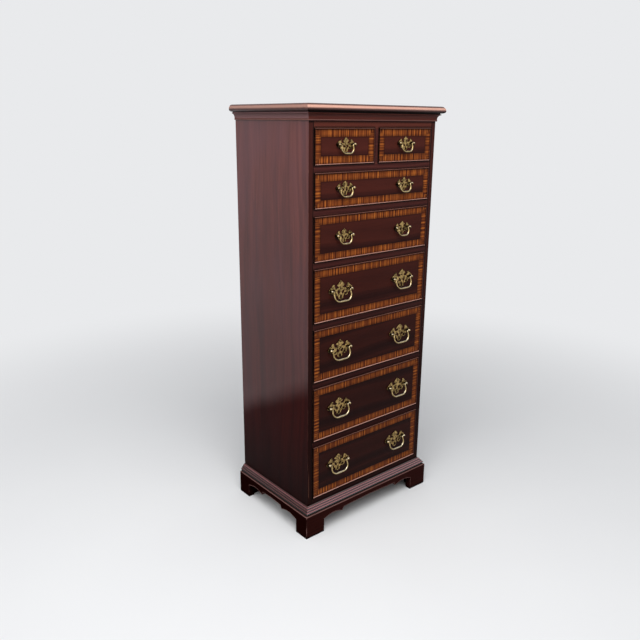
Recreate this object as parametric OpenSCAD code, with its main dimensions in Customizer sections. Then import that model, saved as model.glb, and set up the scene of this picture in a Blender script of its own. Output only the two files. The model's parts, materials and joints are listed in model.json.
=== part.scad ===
// Tall narrow chest of drawers: two short drawers over six long graduated drawers,
// in a case with a coved cornice above and a scrolled bracket base below.
// Millimetres. Z is up, the drawers face -Y, and the origin is on the floor under the
// middle of the whole chest.

/* [Case] */
// Width across the two case sides
case_w = 540; // [480:1:620]
// Depth of the case from its front face to its back
case_d = 378; // [340:1:440]
// Thickness of the two case sides
side_t = 19; // [16:0.5:24]
// Thickness of the back panel
back_t = 6; // [4:0.5:9]
// How far the back panel is let into the edge of each side
back_rebate = 10; // [6:0.5:12]
// Thickness of the board under the lowest drawer
floor_t = 12; // [9:0.5:18]

/* [Top and cornice] */
// Thickness of the top board
top_t = 22; // [18:0.5:28]
// How far the top board's edge stands out past the case
top_out = 24; // [20:0.5:32]
// How far the flat of the top board reaches past the case before its edge rounds over
top_flat_out = 11.5; // [6:0.5:16]
// Height of the sharpest point of the edge above the underside of the top board
top_nose_z = 7; // [4:0.5:10]
// Height of the cornice moulding under the top board
cornice_h = 25; // [22:0.5:32]
// How far the head of the cornice moulding stands out past the case
cornice_out = 13; // [9:0.5:17]
// How far the foot of the cove stands out past the case
cove_foot_out = 3.5; // [2:0.25:5]
// Radius of the bead at the foot of the cornice
cornice_bead_r = 2; // [1:0.1:2.2]
// Side of the square quirk cut into the head of the cornice, which throws a dark line
cornice_quirk = 2.5; // [1.5:0.25:3.5]
// Height of the fillet between that quirk and the cove
cornice_fillet_h = 3; // [2:0.25:4]

/* [Bracket base] */
// Height of the bracket base
base_h = 82; // [72:1:95]
// Thickness of the bracket boards, which stand outside the case by as much
bracket_t = 22; // [18:0.5:28]
// Radius of the eased top edge of the bracket boards
bracket_ease = 3.5; // [1.5:0.25:4.5]
// Width of each front foot, seen from the front
front_foot_w = 77; // [60:0.5:90]
// Width of each foot, seen from the side
side_foot_w = 57.5; // [50:0.5:75]
// Height at which the inner edge of a foot meets the scroll
foot_spring_z = 48; // [40:0.5:52]
// Length of the raised scroll beside each foot
scroll_w = 84; // [60:1:95]
// Rise of the scroll above the spring of the foot
scroll_rise = 9; // [5:0.5:12]
// Length of the step from the scroll up to the straight apron
step_w = 11; // [6:0.5:16]
// Height of the apron's lower edge where the step ends
apron_step_z = 60.5; // [55:0.5:64]
// Height of the apron's lower edge in the middle
apron_mid_z = 63; // [58:0.5:66]
// Height of the moulding that stands on the bracket boards
base_mould_h = 26; // [22:0.5:32]
// How far the foot of the base moulding's reeds stands out past the case
base_mould_out = 18; // [15:0.5:20]
// How far the base moulding stands out past the case at its top
base_mould_top_out = 2; // [1:0.25:4]
// Height of the groove under the reeds
base_groove_h = 5.5; // [4:0.25:7]
// How far the groove is set back from the foot of the reeds
base_groove_in = 3; // [2:0.25:4]
// Number of reeds on the slope of the base moulding
reeds = 3; // [2:1:4]
// Swell of each reed above the slope
reed_swell = 1.6; // [1:0.1:2.2]
// Width of the flat between two reeds
reed_flat = 0.8; // [0.4:0.1:1.5]
// Plain splay above the reeds, as a share of a reed's pitch
reed_splay = 0.5; // [0.3:0.1:1]
// Thickness of the two rear foot boards
rear_foot_t = 18; // [12:0.5:22]
// Width of each rear foot board
rear_foot_w = 70; // [50:1:90]
// Side of the square block glued in each corner of the base
corner_block = 32; // [25:1:40]
// Height of the battens that carry the case between the corner blocks
batten_h = 13; // [8:0.5:15]

/* [Rails and runners] */
// Height of every rail and runner between the drawers
rail_h = 19; // [16:0.5:24]
// Depth of the rails behind the case front
rail_d = 60; // [45:1:80]
// Thickness of the hidden boards above the top rail and below the bottom rail
fascia_t = 22; // [16:0.5:26]
// Width of the runners along the case sides
runner_w = 40; // [30:1:55]
// Depth of the rails at the back of the case
rear_rail_d = 50; // [35:1:70]
// Width of the upright between the two top drawers
divider_w = 14; // [10:0.5:19]
// Width of the middle runner under the upright
middle_runner_w = 60; // [45:1:80]
// Height of the strip that guides the two top drawers behind the upright
guide_h = 20; // [12:0.5:28]
// Length of each drawer stop
stop_w = 40; // [25:1:55]
// Depth of each drawer stop
stop_d = 12; // [8:0.5:18]
// Height of each drawer stop
stop_h = 5; // [3:0.25:6]

/* [Drawer fronts] */
// Height of the first row of drawers, over the beads
row1_h = 105; // [90:0.5:130]
// Height of the second row
row2_h = 105; // [90:0.5:130]
// Height of the third row
row3_h = 138.5; // [110:0.5:160]
// Height of the fourth row
row4_h = 171; // [130:0.5:190]
// Height of the fifth row
row5_h = 175; // [140:0.5:200]
// Height of the sixth row
row6_h = 185; // [150:0.5:210]
// Height of the seventh row
row7_h = 188; // [150:0.5:220]
// Gap left round each drawer front
drawer_gap = 1.5; // [1:0.1:2.5]
// Thickness of the drawer fronts
front_t = 19; // [16:0.5:24]
// Thickness of the cock bead round each front
bead_t = 3; // [2:0.25:4]
// How far the bead stands in front of the drawer front
bead_out = 3; // [2.25:0.25:4]
// How deep the bead is let into the edge of the drawer front
bead_seat = 6; // [4:0.5:6.5]

/* [Drawer boxes] */
// Thickness of the drawer sides
drawer_side_t = 10; // [8:0.5:12]
// Thickness of the drawer backs
drawer_back_t = 8; // [6:0.5:12]
// Thickness of the drawer bottoms
drawer_bottom_t = 4.5; // [3:0.25:6]
// Space left behind the closed drawers
rear_space = 12; // [6:0.5:25]
// How far a drawer side stops short of the top of its front
side_drop = 5; // [3:0.5:10]
// How far a drawer back stops short of the top of the sides
back_drop = 6; // [3:0.5:12]
// Height of the bottom groove above the lower edge of the sides
groove_z = 8; // [7:0.25:10]
// Depth of the bottom groove in the sides and the front
groove_d = 5; // [3:0.25:6]
// Wood left in front of the blind dovetails
dovetail_lap = 7; // [6.75:0.25:9]
// Largest spacing of the dovetails
dovetail_pitch = 42; // [28:1:60]
// Width of the narrow edge of a dovetail pin
pin_w = 5; // [3:0.5:8]
// Spread of each flank of a tail for a unit of its length
tail_slope = 0.14; // [0.08:0.01:0.18]

/* [Pulls] */
// Distance from the case side to the centre of a large pull
pull_inset = 131; // [110:1:160]
// Height of the small pulls above the middle of their drawer
small_pull_rise = 4.5; // [0:0.5:8]
// Height of the large pulls above the middle of their drawer
large_pull_rise = 8; // [0:0.5:14]
// Distance between the posts of a large pull
large_boring = 84; // [76:1:96]
// Distance between the posts of a small pull
small_boring = 62; // [57:1:72]
// Drop of a large bail below its posts
large_drop = 34; // [31:0.5:42]
// Drop of a small bail below its posts
small_drop = 25.5; // [24:0.5:32]
// Bend radius of the lower corners of a large bail
large_bend = 20; // [14:0.5:22]
// Bend radius of the lower corners of a small bail
small_bend = 16; // [10:0.5:17]
// Angle at which the grip of a large bail stands forward of hanging straight down
large_bail_lift = 14; // [0:1:18]
// Angle at which the grip of a small bail stands forward of hanging straight down
small_bail_lift = 9; // [0:1:18]
// Width of a large backplate
large_plate_w = 101; // [95:1:110]
// Width of a small backplate
small_plate_w = 74; // [69:1:84]
// Height of a large backplate's leaf above the posts
large_plate_up = 32; // [24:0.5:38]
// Height of a small backplate's leaf above the posts
small_plate_up = 22; // [18:0.5:28]
// Reach of a large backplate below the posts
large_plate_down = 32; // [24:0.5:36]
// Reach of a small backplate below the posts
small_plate_down = 22; // [18:0.5:26]
// Thickness of the backplates
plate_t = 1.8; // [1:0.1:2.5]
// Distance of the bail's hinge line in front of the drawer front
hinge_out = 9; // [8:0.25:11]
// Radius of the round head of a post
head_r = 4.8; // [4.4:0.1:5.4]
// Radius of the collar of a post where it meets the plate
collar_r = 5.4; // [4.6:0.1:6]
// Thickness of that collar
collar_h = 1.5; // [1:0.1:2]
// Radius of the neck of a post
neck_r = 3; // [2.6:0.1:3.6]
// Radius of the bolt shank of a post
shank_r = 2.4; // [2:0.1:3]
// Radius of a bail where it turns in its posts
pin_r = 2; // [1.6:0.1:2.3]
// Radius of a bail at its lower corners
bail_r = 2.5; // [2.1:0.1:3]
// Radius of a bail in the middle of its grip
grip_r = 3.2; // [3:0.1:3.8]
// Space between a post's head and the bend of the bail beside it
elbow_space = 0.4; // [0.3:0.1:1.5]
// Bend radius of a bail where it turns down beside a post
elbow_bend = 3; // [2.8:0.1:3.6]
// Lean of a bail's limbs, which spread outwards below the posts
limb_lean = 9; // [4:1:14]
// Distance across the corners of a nut
nut_w = 11; // [9:0.5:14]
// Thickness of a nut
nut_t = 4; // [3:0.25:6]

/* [Fits] */
// Space between a drawer's sides and what they ride on
ride_gap = 0.3; // [0.2:0.05:0.6]
// Space between a drawer front and its stops
stop_gap = 0.3; // [0.2:0.05:0.6]
// Clearance of dovetails and grooves
joint_gap = 0.1; // [0.05:0.01:0.15]
// Radial clearance of a bail's pin in the bore of its post
pin_gap = 0.25; // [0.2:0.05:0.4]
// Radial clearance of the nut and of the plate on a post's shank
shank_gap = 0.05; // [0.03:0.01:0.09]
// Radial clearance of a post's shank in the drawer front
bolt_gap = 0.2; // [0.1:0.05:0.4]
// Thickness of a glue line, or of the line between two pieces screwed together
glue_line = 0.05; // [0.03:0.01:0.1]
// Step in radius where one stretch of a bail runs into the next
bar_step = 0.05; // [0.03:0.01:0.1]
// How far one stretch of a bail runs into the next
bar_lap = 0.3; // [0.2:0.05:0.4]

/* [Hidden] */
$fn = 32;
round_steps = 8;
hole_steps = 12;
hole_taper = 0.3;
pin_reach = head_r / 2;
mahogany = [0.30, 0.10, 0.07];
dark_mahogany = [0.22, 0.07, 0.05];
banding = [0.55, 0.28, 0.10];
pine = [0.76, 0.60, 0.40];
oak = [0.66, 0.48, 0.29];
brass = [0.72, 0.58, 0.32];

row_h = [row1_h, row2_h, row3_h, row4_h, row5_h, row6_h, row7_h];
last_row = len(row_h) - 1;
front_reach = max(top_out, bracket_t);
front_y = front_reach - (case_d + front_reach) / 2;
back_y = front_y + case_d;
side_x = case_w / 2;
inner_x = side_x - side_t;
panel_y = back_y - back_t;
drawer_back_y = panel_y - rear_space;
bottom_rail_z = base_h + base_mould_h;
bottom_rail_top = bottom_rail_z + rail_h;

function rows_from(i) = i > last_row ? 0 : row_h[i] + 2 * drawer_gap + rail_h + rows_from(i + 1);
function row_z(i) = bottom_rail_top + rows_from(i + 1);
function row_top(i) = row_z(i) + row_h[i] + 2 * drawer_gap;

top_rail_z = row_top(0);
top_fascia_z = top_rail_z + rail_h;
case_top = top_fascia_z + cornice_h;
levels = concat([top_rail_z], [for (i = [0:last_row]) row_z(i) - rail_h]);

// Each drawer is its name, its row, and its side: -1 left, 1 right, 0 the full width
DRAWERS = concat([["top_left", 0, -1], ["top_right", 0, 1]],
    [for (i = [1:last_row]) [["second", "third", "fourth", "fifth", "sixth", "seventh"][i - 1], i, 0]]);
first_large_row = 3;
top_pull_x = (inner_x + divider_w / 2) / 2;
large_pull_x = side_x - pull_inset;

function is_large(i) = i >= first_large_row;
function pull_x(i) = is_large(i) ? large_pull_x : top_pull_x;
function pull_rise(i) = is_large(i) ? large_pull_rise : small_pull_rise;
function pull_z(i) = row_z(i) + drawer_gap + row_h[i] / 2 + pull_rise(i);
function pull_sides(d) = d[2] == 0 ? [-1, 1] : [d[2]];
function front_x0(d) = d[2] == 1 ? divider_w / 2 + drawer_gap : drawer_gap - inner_x;
function front_x1(d) = d[2] == -1 ? -divider_w / 2 - drawer_gap : inner_x - drawer_gap;
function front_z0(d) = row_z(d[1]) + drawer_gap;
function front_z1(d) = front_z0(d) + row_h[d[1]];
function box_z0(d) = row_z(d[1]) + ride_gap;
function box_z1(d) = front_z1(d) - side_drop;
function panel_z0(d) = box_z0(d) + groove_z + joint_gap;
function panel_z1(d) = panel_z0(d) + drawer_bottom_t;
function bail_name(d, s) = d[2] != 0 ? str(d[0], "_bail") : str(d[0], s < 0 ? "_left_bail" : "_right_bail");

// Solid between two opposite corners
module slab(lo, hi) {
    translate(lo) cube(hi - lo);
}

// A profile in Y and Z carried along X
module along_x(x0, x1) {
    translate([x0, 0, 0]) rotate([90, 0, 90]) linear_extrude(x1 - x0) children();
}

// A profile in X and Z carried along Y
module along_y(y0, y1) {
    translate([0, y1, 0]) rotate([90, 0, 0]) linear_extrude(y1 - y0) children();
}

// An outline in X and Y carried along Z
module along_z(z0, z1) {
    translate([0, 0, z0]) linear_extrude(z1 - z0) children();
}

// Arc of an ellipse as points, from angle a0 to a1
function arc(c, rx, rz, a0, a1, n = round_steps) =
    [for (i = [0:n]) let (a = a0 + (a1 - a0) * i / n) [c[0] + rx * cos(a), c[1] + rz * sin(a)]];

// A moulding that runs across the front and is mitred at both corners. The profile
// gives how far out of the case each point stands, and its height.
module front_moulding(profile, reach, z0, z1) {
    intersection() {
        along_x(-side_x - reach, side_x + reach)
            polygon([for (p = profile) [front_y - p[0], p[1]]]);
        along_z(z0, z1)
            polygon([[glue_line - side_x - reach, front_y - reach],
                [side_x + reach - glue_line, front_y - reach],
                [side_x - glue_line, front_y], [glue_line - side_x, front_y]]);
    }
}

// The same moulding along the right side, mitred at the front and square at the back
module side_moulding(profile, reach, z0, z1) {
    intersection() {
        along_y(front_y - reach, back_y)
            polygon([for (p = profile) [side_x + p[0], p[1]]]);
        along_z(z0, z1)
            polygon([[side_x, front_y], [side_x + reach, front_y - reach],
                [side_x + reach, back_y], [side_x, back_y]]);
    }
}

module both_sides() {
    children();
    mirror([1, 0, 0]) children();
}

module right_panel_solid() {
    difference() {
        slab([inner_x, front_y, base_h], [side_x, back_y, case_top]);
        slab([inner_x - 1, panel_y, base_h - 1], [inner_x + back_rebate, back_y + 1, case_top + 1]);
    }
}

module left_side_panel() {
    color(mahogany) mirror([1, 0, 0]) right_panel_solid();
}

module right_side_panel() {
    color(mahogany) right_panel_solid();
}

module back_panel() {
    reach = inner_x + back_rebate - joint_gap;
    color(oak) slab([-reach, panel_y, base_h], [reach, back_y, case_top]);
}

// The edge of the top board from its underside, round the nose, to its flat
function top_edge() = concat(
    arc([cornice_out, case_top + top_nose_z], top_out - cornice_out, top_nose_z, -90, 0),
    arc([top_flat_out, case_top + top_nose_z], top_out - top_flat_out, top_t - top_nose_z, 0, 90));

module top_board() {
    edge = top_edge();
    turned = [for (i = [len(edge) - 1:-1:0]) edge[i]];
    color(dark_mahogany) intersection() {
        along_x(-side_x - top_out, side_x + top_out)
            polygon(concat([for (p = edge) [front_y - p[0], p[1]]],
                [[back_y, case_top + top_t], [back_y, case_top]]));
        along_y(front_y - top_out, back_y)
            polygon(concat([for (p = edge) [side_x + p[0], p[1]]],
                [for (p = turned) [-side_x - p[0], p[1]]]));
    }
}

// Bead, cove, fillet and quirk, from the foot of the cornice to the top board
function cornice_profile() = let (
        z0 = case_top - cornice_h,
        r = cornice_bead_r,
        cove_z0 = z0 + 3 * r,
        quirk_z = case_top - cornice_quirk,
        cove_z1 = quirk_z - cornice_fillet_h,
        quirk_out = cornice_out - cornice_quirk)
    concat([[0, z0]],
        arc([cove_foot_out - r / 2, z0 + r], r, r, -90, 90),
        [[cove_foot_out, z0 + 2 * r]],
        arc([cornice_out, cove_z0], cornice_out - cove_foot_out, cove_z1 - cove_z0, 180, 90),
        [[cornice_out, quirk_z], [quirk_out, quirk_z], [quirk_out, case_top], [0, case_top]]);

module cornice_moulding() {
    z0 = case_top - cornice_h;
    color(dark_mahogany) front_moulding(cornice_profile(), cornice_out, z0, case_top);
    color(dark_mahogany) both_sides() side_moulding(cornice_profile(), cornice_out, z0, case_top);
}

// One reed: an arc from p to q, as high above them as its swell at the middle
function reed(p, q) = let (
        half = norm(q - p) / 2,
        r = (half * half + reed_swell * reed_swell) / (2 * reed_swell),
        spread = asin(half / r),
        slope = atan2(q[1] - p[1], q[0] - p[0]),
        c = (p + q) / 2 + (r - reed_swell) * [-sin(slope), cos(slope)])
    arc(c, r, r, slope - 90 - spread, slope - 90 + spread);

// Groove on the bracket boards, a row of reeds up the slope, and a plain splay above
function base_profile() = let (
        foot = [base_mould_out, base_h + base_groove_h],
        top = [base_mould_top_out, base_h + base_mould_h],
        groove_out = base_mould_out - base_groove_in,
        pitch = (top - foot) / (reeds + reed_splay),
        flat = pitch * reed_flat / norm(pitch) / 2)
    concat([[0, base_h], [groove_out, base_h], [groove_out, foot[1]]],
        [for (i = [0:reeds - 1]) for (p = reed(foot + i * pitch + flat, foot + (i + 1) * pitch - flat)) p],
        [top, [0, top[1]]]);

module base_moulding() {
    z1 = base_h + base_mould_h;
    color(mahogany) front_moulding(base_profile(), base_mould_out, base_h, z1);
    color(mahogany) both_sides() side_moulding(base_profile(), base_mould_out, base_h, z1);
}

// Lower edge from a foot to the middle of a board, as distance from the end and height:
// up the foot, over the scroll, up the step and along the apron
function scroll_points(foot_w, half_l) = let (
        n = 2 * round_steps,
        scroll = [for (i = [0:n]) let (t = i / n)
            [foot_w + scroll_w * t, foot_spring_z + scroll_rise * sin(180 * t)]],
        step_end = foot_w + scroll_w + step_w,
        step = arc([step_end, foot_spring_z], step_w, apron_step_z - foot_spring_z, 180, 90, 4))
    concat([[0, 0], [foot_w, 0]], scroll, step, [[half_l, apron_mid_z]]);

function bracket_outline(length, foot_w) = let (
        half = scroll_points(foot_w, length / 2),
        n = len(half))
    concat([for (p = half) [p[0] - length / 2, p[1]]],
        [for (i = [n - 2:-1:0]) [length / 2 - half[i][0], half[i][1]]],
        [[length / 2, base_h], [-length / 2, base_h]]);

// Section of a bracket board, with its outer top edge eased
function bracket_section() = concat([[0, 0], [bracket_t, 0]],
    arc([bracket_t - bracket_ease, base_h - bracket_ease], bracket_ease, bracket_ease, 0, 90, 4),
    [[0, base_h]]);

module front_bracket() {
    color(mahogany) intersection() {
        front_moulding(bracket_section(), bracket_t, 0, base_h);
        along_y(front_y - bracket_t, front_y)
            polygon(bracket_outline(case_w + 2 * bracket_t, front_foot_w));
    }
}

module side_brackets() {
    length = case_d + bracket_t;
    color(mahogany) both_sides() intersection() {
        side_moulding(bracket_section(), bracket_t, 0, base_h);
        along_x(side_x, side_x + bracket_t) translate([back_y - length / 2, 0])
            polygon(bracket_outline(length, side_foot_w));
    }
}

// Plain boards behind the rear feet, with the same quarter curve on the inner edge
module rear_brackets() {
    rise = base_h - apron_mid_z;
    color(oak) both_sides() along_y(back_y - rear_foot_t, back_y)
        polygon(concat([[side_x, base_h], [side_x, 0], [side_x - rear_foot_w + rise, 0]],
            arc([side_x - rear_foot_w - rise, 0], 2 * rise, apron_mid_z, 0, 90),
            [[side_x - rear_foot_w - rise, base_h]]));
}

// Corner blocks, and the battens between them on which the case stands
module base_blocks() {
    block_y0 = front_y + corner_block;
    block_y1 = back_y - rear_foot_t - corner_block;
    z0 = base_h - batten_h;
    foot_clear = ride_gap;
    color(pine) both_sides() {
        slab([side_x - corner_block, front_y, foot_clear], [side_x, block_y0, base_h]);
        slab([side_x - corner_block, block_y1, foot_clear], [side_x, block_y1 + corner_block, base_h]);
        slab([side_x - corner_block, block_y0 + glue_line, z0], [side_x, block_y1 - glue_line, base_h]);
    }
    reach = side_x - corner_block - glue_line;
    color(pine) slab([-reach, front_y, z0], [reach, block_y0, base_h]);
}

module case_floor() {
    color(pine) slab([-inner_x, front_y + fascia_t, base_h], [inner_x, panel_y, base_h + floor_t]);
}

// The rails in the front of the case, the hidden boards above and below them, and the stops
module drawer_rails() {
    color(mahogany) for (z = levels)
        slab([-inner_x, front_y, z], [inner_x, front_y + rail_d, z + rail_h]);
    color(mahogany) slab([-inner_x, front_y, base_h],
        [inner_x, front_y + fascia_t, bottom_rail_z - glue_line]);
    color(mahogany) slab([-inner_x, front_y, top_fascia_z + glue_line],
        [inner_x, front_y + fascia_t, case_top]);
    color(oak) for (d = DRAWERS, s = [-1, 1]) drawer_stop(d, s);
}

module drawer_stop(d, s) {
    w = front_x1(d) - front_x0(d);
    x = (front_x0(d) + front_x1(d)) / 2 + s * w / 4;
    y = front_y + front_t + stop_gap;
    z = row_z(d[1]);
    slab([x - stop_w / 2, y, z + glue_line], [x + stop_w / 2, y + stop_d, z + stop_h]);
}

module top_drawer_divider() {
    color(mahogany) slab([-divider_w / 2, front_y, row_z(0)],
        [divider_w / 2, front_y + rail_d, top_rail_z]);
}

// Runners beside the case sides, rails across the back, and the middle runner, guide
// and kicker of the two top drawers
module drawer_runners() {
    y0 = front_y + rail_d;
    y1 = panel_y - rear_rail_d;
    color(pine) for (z = levels) {
        both_sides() slab([inner_x - runner_w, y0, z], [inner_x, y1, z + rail_h]);
        slab([-inner_x, y1 + glue_line, z], [inner_x, panel_y, z + rail_h]);
    }
    color(pine) for (z = [row_z(0) - rail_h, top_rail_z])
        slab([-middle_runner_w / 2, y0, z], [middle_runner_w / 2, y1, z + rail_h]);
    color(pine) slab([-divider_w / 2, y0, row_z(0) + glue_line],
        [divider_w / 2, panel_y, row_z(0) + guide_h]);
}

// Tails of one corner joint in Y and Z: from the shoulder at y0 to the ends at y1,
// between the heights z0 and z1
function tail_count(z0, z1) = ceil((z1 - z0) / dovetail_pitch);
function tail_points(y0, y1, z0, z1) = let (
        n = tail_count(z0, z1),
        pitch = (z1 - z0) / n,
        wide = (pitch - pin_w) / 2,
        narrow = wide - abs(y1 - y0) * tail_slope)
    [for (i = [0:n - 1]) let (c = z0 + pitch * (i + 0.5))
        [[y0, c - narrow], [y1, c - wide], [y1, c + wide], [y0, c + narrow]]];

// The sockets that take those tails, wider by the joint's clearance
module tail_sockets(x0, x1, y0, y1, z0, z1) {
    over = y1 > y0 ? -1 : 1;
    end_y = y1 - over * joint_gap;
    for (t = tail_points(y0, y1, z0, z1))
        along_x(x0, x1) polygon([[y0 + over, t[0][1] - joint_gap], [y0, t[0][1] - joint_gap],
            [end_y, t[1][1] - joint_gap], [end_y, t[2][1] + joint_gap],
            [y0, t[3][1] + joint_gap], [y0 + over, t[3][1] + joint_gap]]);
}

module drawer_front(d) {
    x0 = front_x0(d);
    x1 = front_x1(d);
    z0 = front_z0(d);
    z1 = front_z1(d);
    y1 = front_y + front_t;
    lap_y = front_y + dovetail_lap;
    bead_in = bead_t + glue_line;
    color(mahogany) difference() {
        union() {
            slab([x0 + bead_in, front_y, z0 + bead_in], [x1 - bead_in, front_y + bead_seat, z1 - bead_in]);
            slab([x0, front_y + bead_seat, z0], [x1, y1, z1]);
        }
        tail_sockets(x0 - 1, x0 + drawer_side_t + joint_gap, y1, lap_y, box_z0(d), box_z1(d));
        tail_sockets(x1 - drawer_side_t - joint_gap, x1 + 1, y1, lap_y, box_z0(d), box_z1(d));
        slab([x0 + drawer_side_t, y1 - groove_d, panel_z0(d) - joint_gap],
            [x1 - drawer_side_t, y1 + 1, panel_z1(d) + joint_gap]);
        for (s = pull_sides(d), e = [-1, 1])
            along_y(front_y - 1, y1 + 1) translate([s * pull_x(d[1]) + e * boring(d) / 2, pull_z(d[1])])
                circle(shank_r + bolt_gap);
    }
    color(banding) cock_bead(x0, x1, z0, z1);
}

// Section of the bead: its thickness in from the edge of the front, and its depth
function bead_section() = let (y1 = bead_seat - glue_line)
    concat([[0, y1]],
        arc([bead_t / 2, bead_t / 2 - bead_out], bead_t / 2, bead_t / 2, 180, 360),
        [[bead_t, y1]]);

module cock_bead(x0, x1, z0, z1) {
    w = x1 - x0;
    h = z1 - z0;
    translate([(x0 + x1) / 2, front_y, (z0 + z1) / 2]) {
        for (a = [0, 180]) rotate([0, a, 0]) bead_strip(w, h);
        for (a = [90, 270]) rotate([0, a, 0]) bead_strip(h, w);
    }
}

// One strip of bead along the lower edge of a front of width w and height h
module bead_strip(w, h) {
    half = w / 2 - glue_line;
    intersection() {
        along_x(-w / 2, w / 2) polygon([for (p = bead_section()) [p[1], p[0] - h / 2]]);
        along_y(-bead_out, bead_seat) polygon([[-half, -h / 2], [half, -h / 2],
            [half - bead_t, bead_t - h / 2], [bead_t - half, bead_t - h / 2]]);
    }
}

// A drawer side seen from the side: tails at the front, tails at the back above the
// groove, and a plain tongue below them
function side_outline(d) = let (
        y0 = front_y + front_t,
        y1 = drawer_back_y,
        lap_y = front_y + dovetail_lap,
        z0 = box_z0(d),
        z1 = box_z1(d),
        back_z0 = panel_z1(d) + joint_gap,
        back_z1 = z1 - back_drop,
        shoulder_y = y1 - drawer_back_t - joint_gap,
        fronts = tail_points(y0, lap_y, z0, z1),
        backs = tail_points(shoulder_y, y1, back_z0, back_z1),
        n = len(backs))
    concat([[y0, z0]],
        [for (t = fronts) for (p = t) p],
        [[y0, z1], [shoulder_y, z1]],
        [for (i = [n - 1:-1:0]) for (k = [3:-1:0]) backs[i][k]],
        [[shoulder_y, back_z0 - joint_gap], [y1, back_z0 - joint_gap], [y1, z0]]);

module drawer_box(d) {
    x0 = front_x0(d);
    x1 = front_x1(d);
    z0 = box_z0(d);
    y0 = front_y + front_t;
    shoulder_y = drawer_back_y - drawer_back_t;
    back_z0 = panel_z1(d) + joint_gap;
    back_z1 = box_z1(d) - back_drop;
    centre = (x0 + x1) / 2;
    half = (x1 - x0) / 2;
    color(oak) for (s = [-1, 1]) translate([centre, 0, 0]) scale_x(s) difference() {
        along_x(half - drawer_side_t, half) polygon(side_outline(d));
        slab([half - drawer_side_t - 1, y0 - 1, z0 + groove_z],
            [half - drawer_side_t + groove_d, drawer_back_y + 1, back_z0]);
    }
    color(oak) difference() {
        slab([x0, shoulder_y, back_z0], [x1, drawer_back_y, back_z1]);
        tail_sockets(x0 - 1, x0 + drawer_side_t + joint_gap, shoulder_y, drawer_back_y, back_z0, back_z1);
        tail_sockets(x1 - drawer_side_t - joint_gap, x1 + 1, shoulder_y, drawer_back_y, back_z0, back_z1);
    }
}

// Mirrors its children in X when s is -1
module scale_x(s) {
    if (s < 0) {
        mirror([1, 0, 0]) children();
    } else {
        children();
    }
}

module drawer_bottom(d) {
    x0 = front_x0(d) + drawer_side_t;
    x1 = front_x1(d) - drawer_side_t;
    tongue = groove_d - joint_gap;
    front_edge = front_y + front_t - tongue;
    shoulder_y = front_y + front_t + joint_gap;
    color(pine) along_z(panel_z0(d), panel_z1(d))
        polygon([[x0 + joint_gap, front_edge], [x1 - joint_gap, front_edge], [x1 - joint_gap, shoulder_y],
            [x1 + tongue, shoulder_y], [x1 + tongue, drawer_back_y], [x0 - tongue, drawer_back_y],
            [x0 - tongue, shoulder_y], [x0 + joint_gap, shoulder_y]]);
}

function boring(d) = is_large(d[1]) ? large_boring : small_boring;
function drop(d) = is_large(d[1]) ? large_drop : small_drop;
function bend(d) = is_large(d[1]) ? large_bend : small_bend;
function bail_lift(d) = is_large(d[1]) ? large_bail_lift : small_bail_lift;
function plate_half(d) = (is_large(d[1]) ? large_plate_w : small_plate_w) / 2;
function plate_up(d) = is_large(d[1]) ? large_plate_up : small_plate_up;
function plate_down(d) = is_large(d[1]) ? large_plate_down : small_plate_down;

// Smooth curve through the points, with one more point between each two
function between(p, i) = let (
        n = len(p) - 1,
        a = p[max(i - 1, 0)],
        b = p[i],
        c = p[i + 1],
        e = p[min(i + 2, n)])
    (9 * (b + c) - a - e) / 16;
function smooth(p) = concat([for (i = [0:len(p) - 2]) for (q = [p[i], between(p, i)]) q]);

// Right half of the backplate's outline from the tip of the leaf round to the lower
// tip, in shares of the plate's half width and of its reach above and below the posts
leaf_edge = [[0, 1], [0.07, 0.88], [0.18, 0.75], [0.34, 0.52]];
neck_edge = [[0.34, 0.52], [0.25, 0.45], [0.17, 0.36], [0.18, 0.26], [0.27, 0.22], [0.38, 0.22],
    [0.46, 0.29], [0.50, 0.43], [0.52, 0.62]];
ear_edge = [[0.52, 0.62], [0.60, 0.67], [0.68, 0.58], [0.76, 0.42], [0.88, 0.29], [0.97, 0.16], [1, 0]];
wing_edge = [[1, 0], [0.94, -0.14], [0.83, -0.21], [0.71, -0.23], [0.63, -0.31], [0.60, -0.45],
    [0.53, -0.57], [0.43, -0.62]];
strap_edge = [[0.43, -0.62], [0.37, -0.56], [0.29, -0.54], [0.22, -0.60], [0.20, -0.72], [0.18, -0.90]];
toe_edge = [[0.18, -0.90], [0.08, -0.90], [0, -1]];

function outline_half(d) = [for (run = [leaf_edge, neck_edge, ear_edge, wing_edge, strap_edge, toe_edge])
    for (p = smooth(run)) [p[0] * plate_half(d), p[1] * (p[1] > 0 ? plate_up(d) : plate_down(d))]];
function plate_outline(d) = let (half = outline_half(d), n = len(half))
    concat(half, [[0, -plate_down(d)]], [for (i = [n - 1:-1:1]) [-half[i][0], half[i][1]]]);

// Each piercing is its centre, its length and width, and how far it is turned, with the
// sizes as shares of the plate's half width
piercings = [[0.19, -0.16, 0.28, 0.18, 55], [0.59, 0.08, 0.22, 0.13, 8], [0.42, -0.37, 0.19, 0.15, 25]];
middle_piercing = [0, -0.66, 0.27, 0.15, 90];

// A drop-shaped hole, round at one end and drawn out at the other
module drop_hole(d, h) {
    u = plate_half(d);
    v = h[1] > 0 ? plate_up(d) : plate_down(d);
    translate([h[0] * u, h[1] * v]) rotate(h[4])
        polygon([for (i = [0:hole_steps - 1]) let (a = 360 * i / hole_steps)
            [cos(a) * h[2] * u / 2, sin(a) * (1 - hole_taper * cos(a)) * h[3] * u / 2]]);
}

module plate_shape(d) {
    difference() {
        polygon(plate_outline(d));
        for (h = piercings) {
            drop_hole(d, h);
            mirror([1, 0]) drop_hole(d, h);
        }
        drop_hole(d, middle_piercing);
        for (e = [-1, 1]) translate([e * boring(d) / 2, 0]) circle(shank_r + shank_gap);
    }
}

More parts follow.
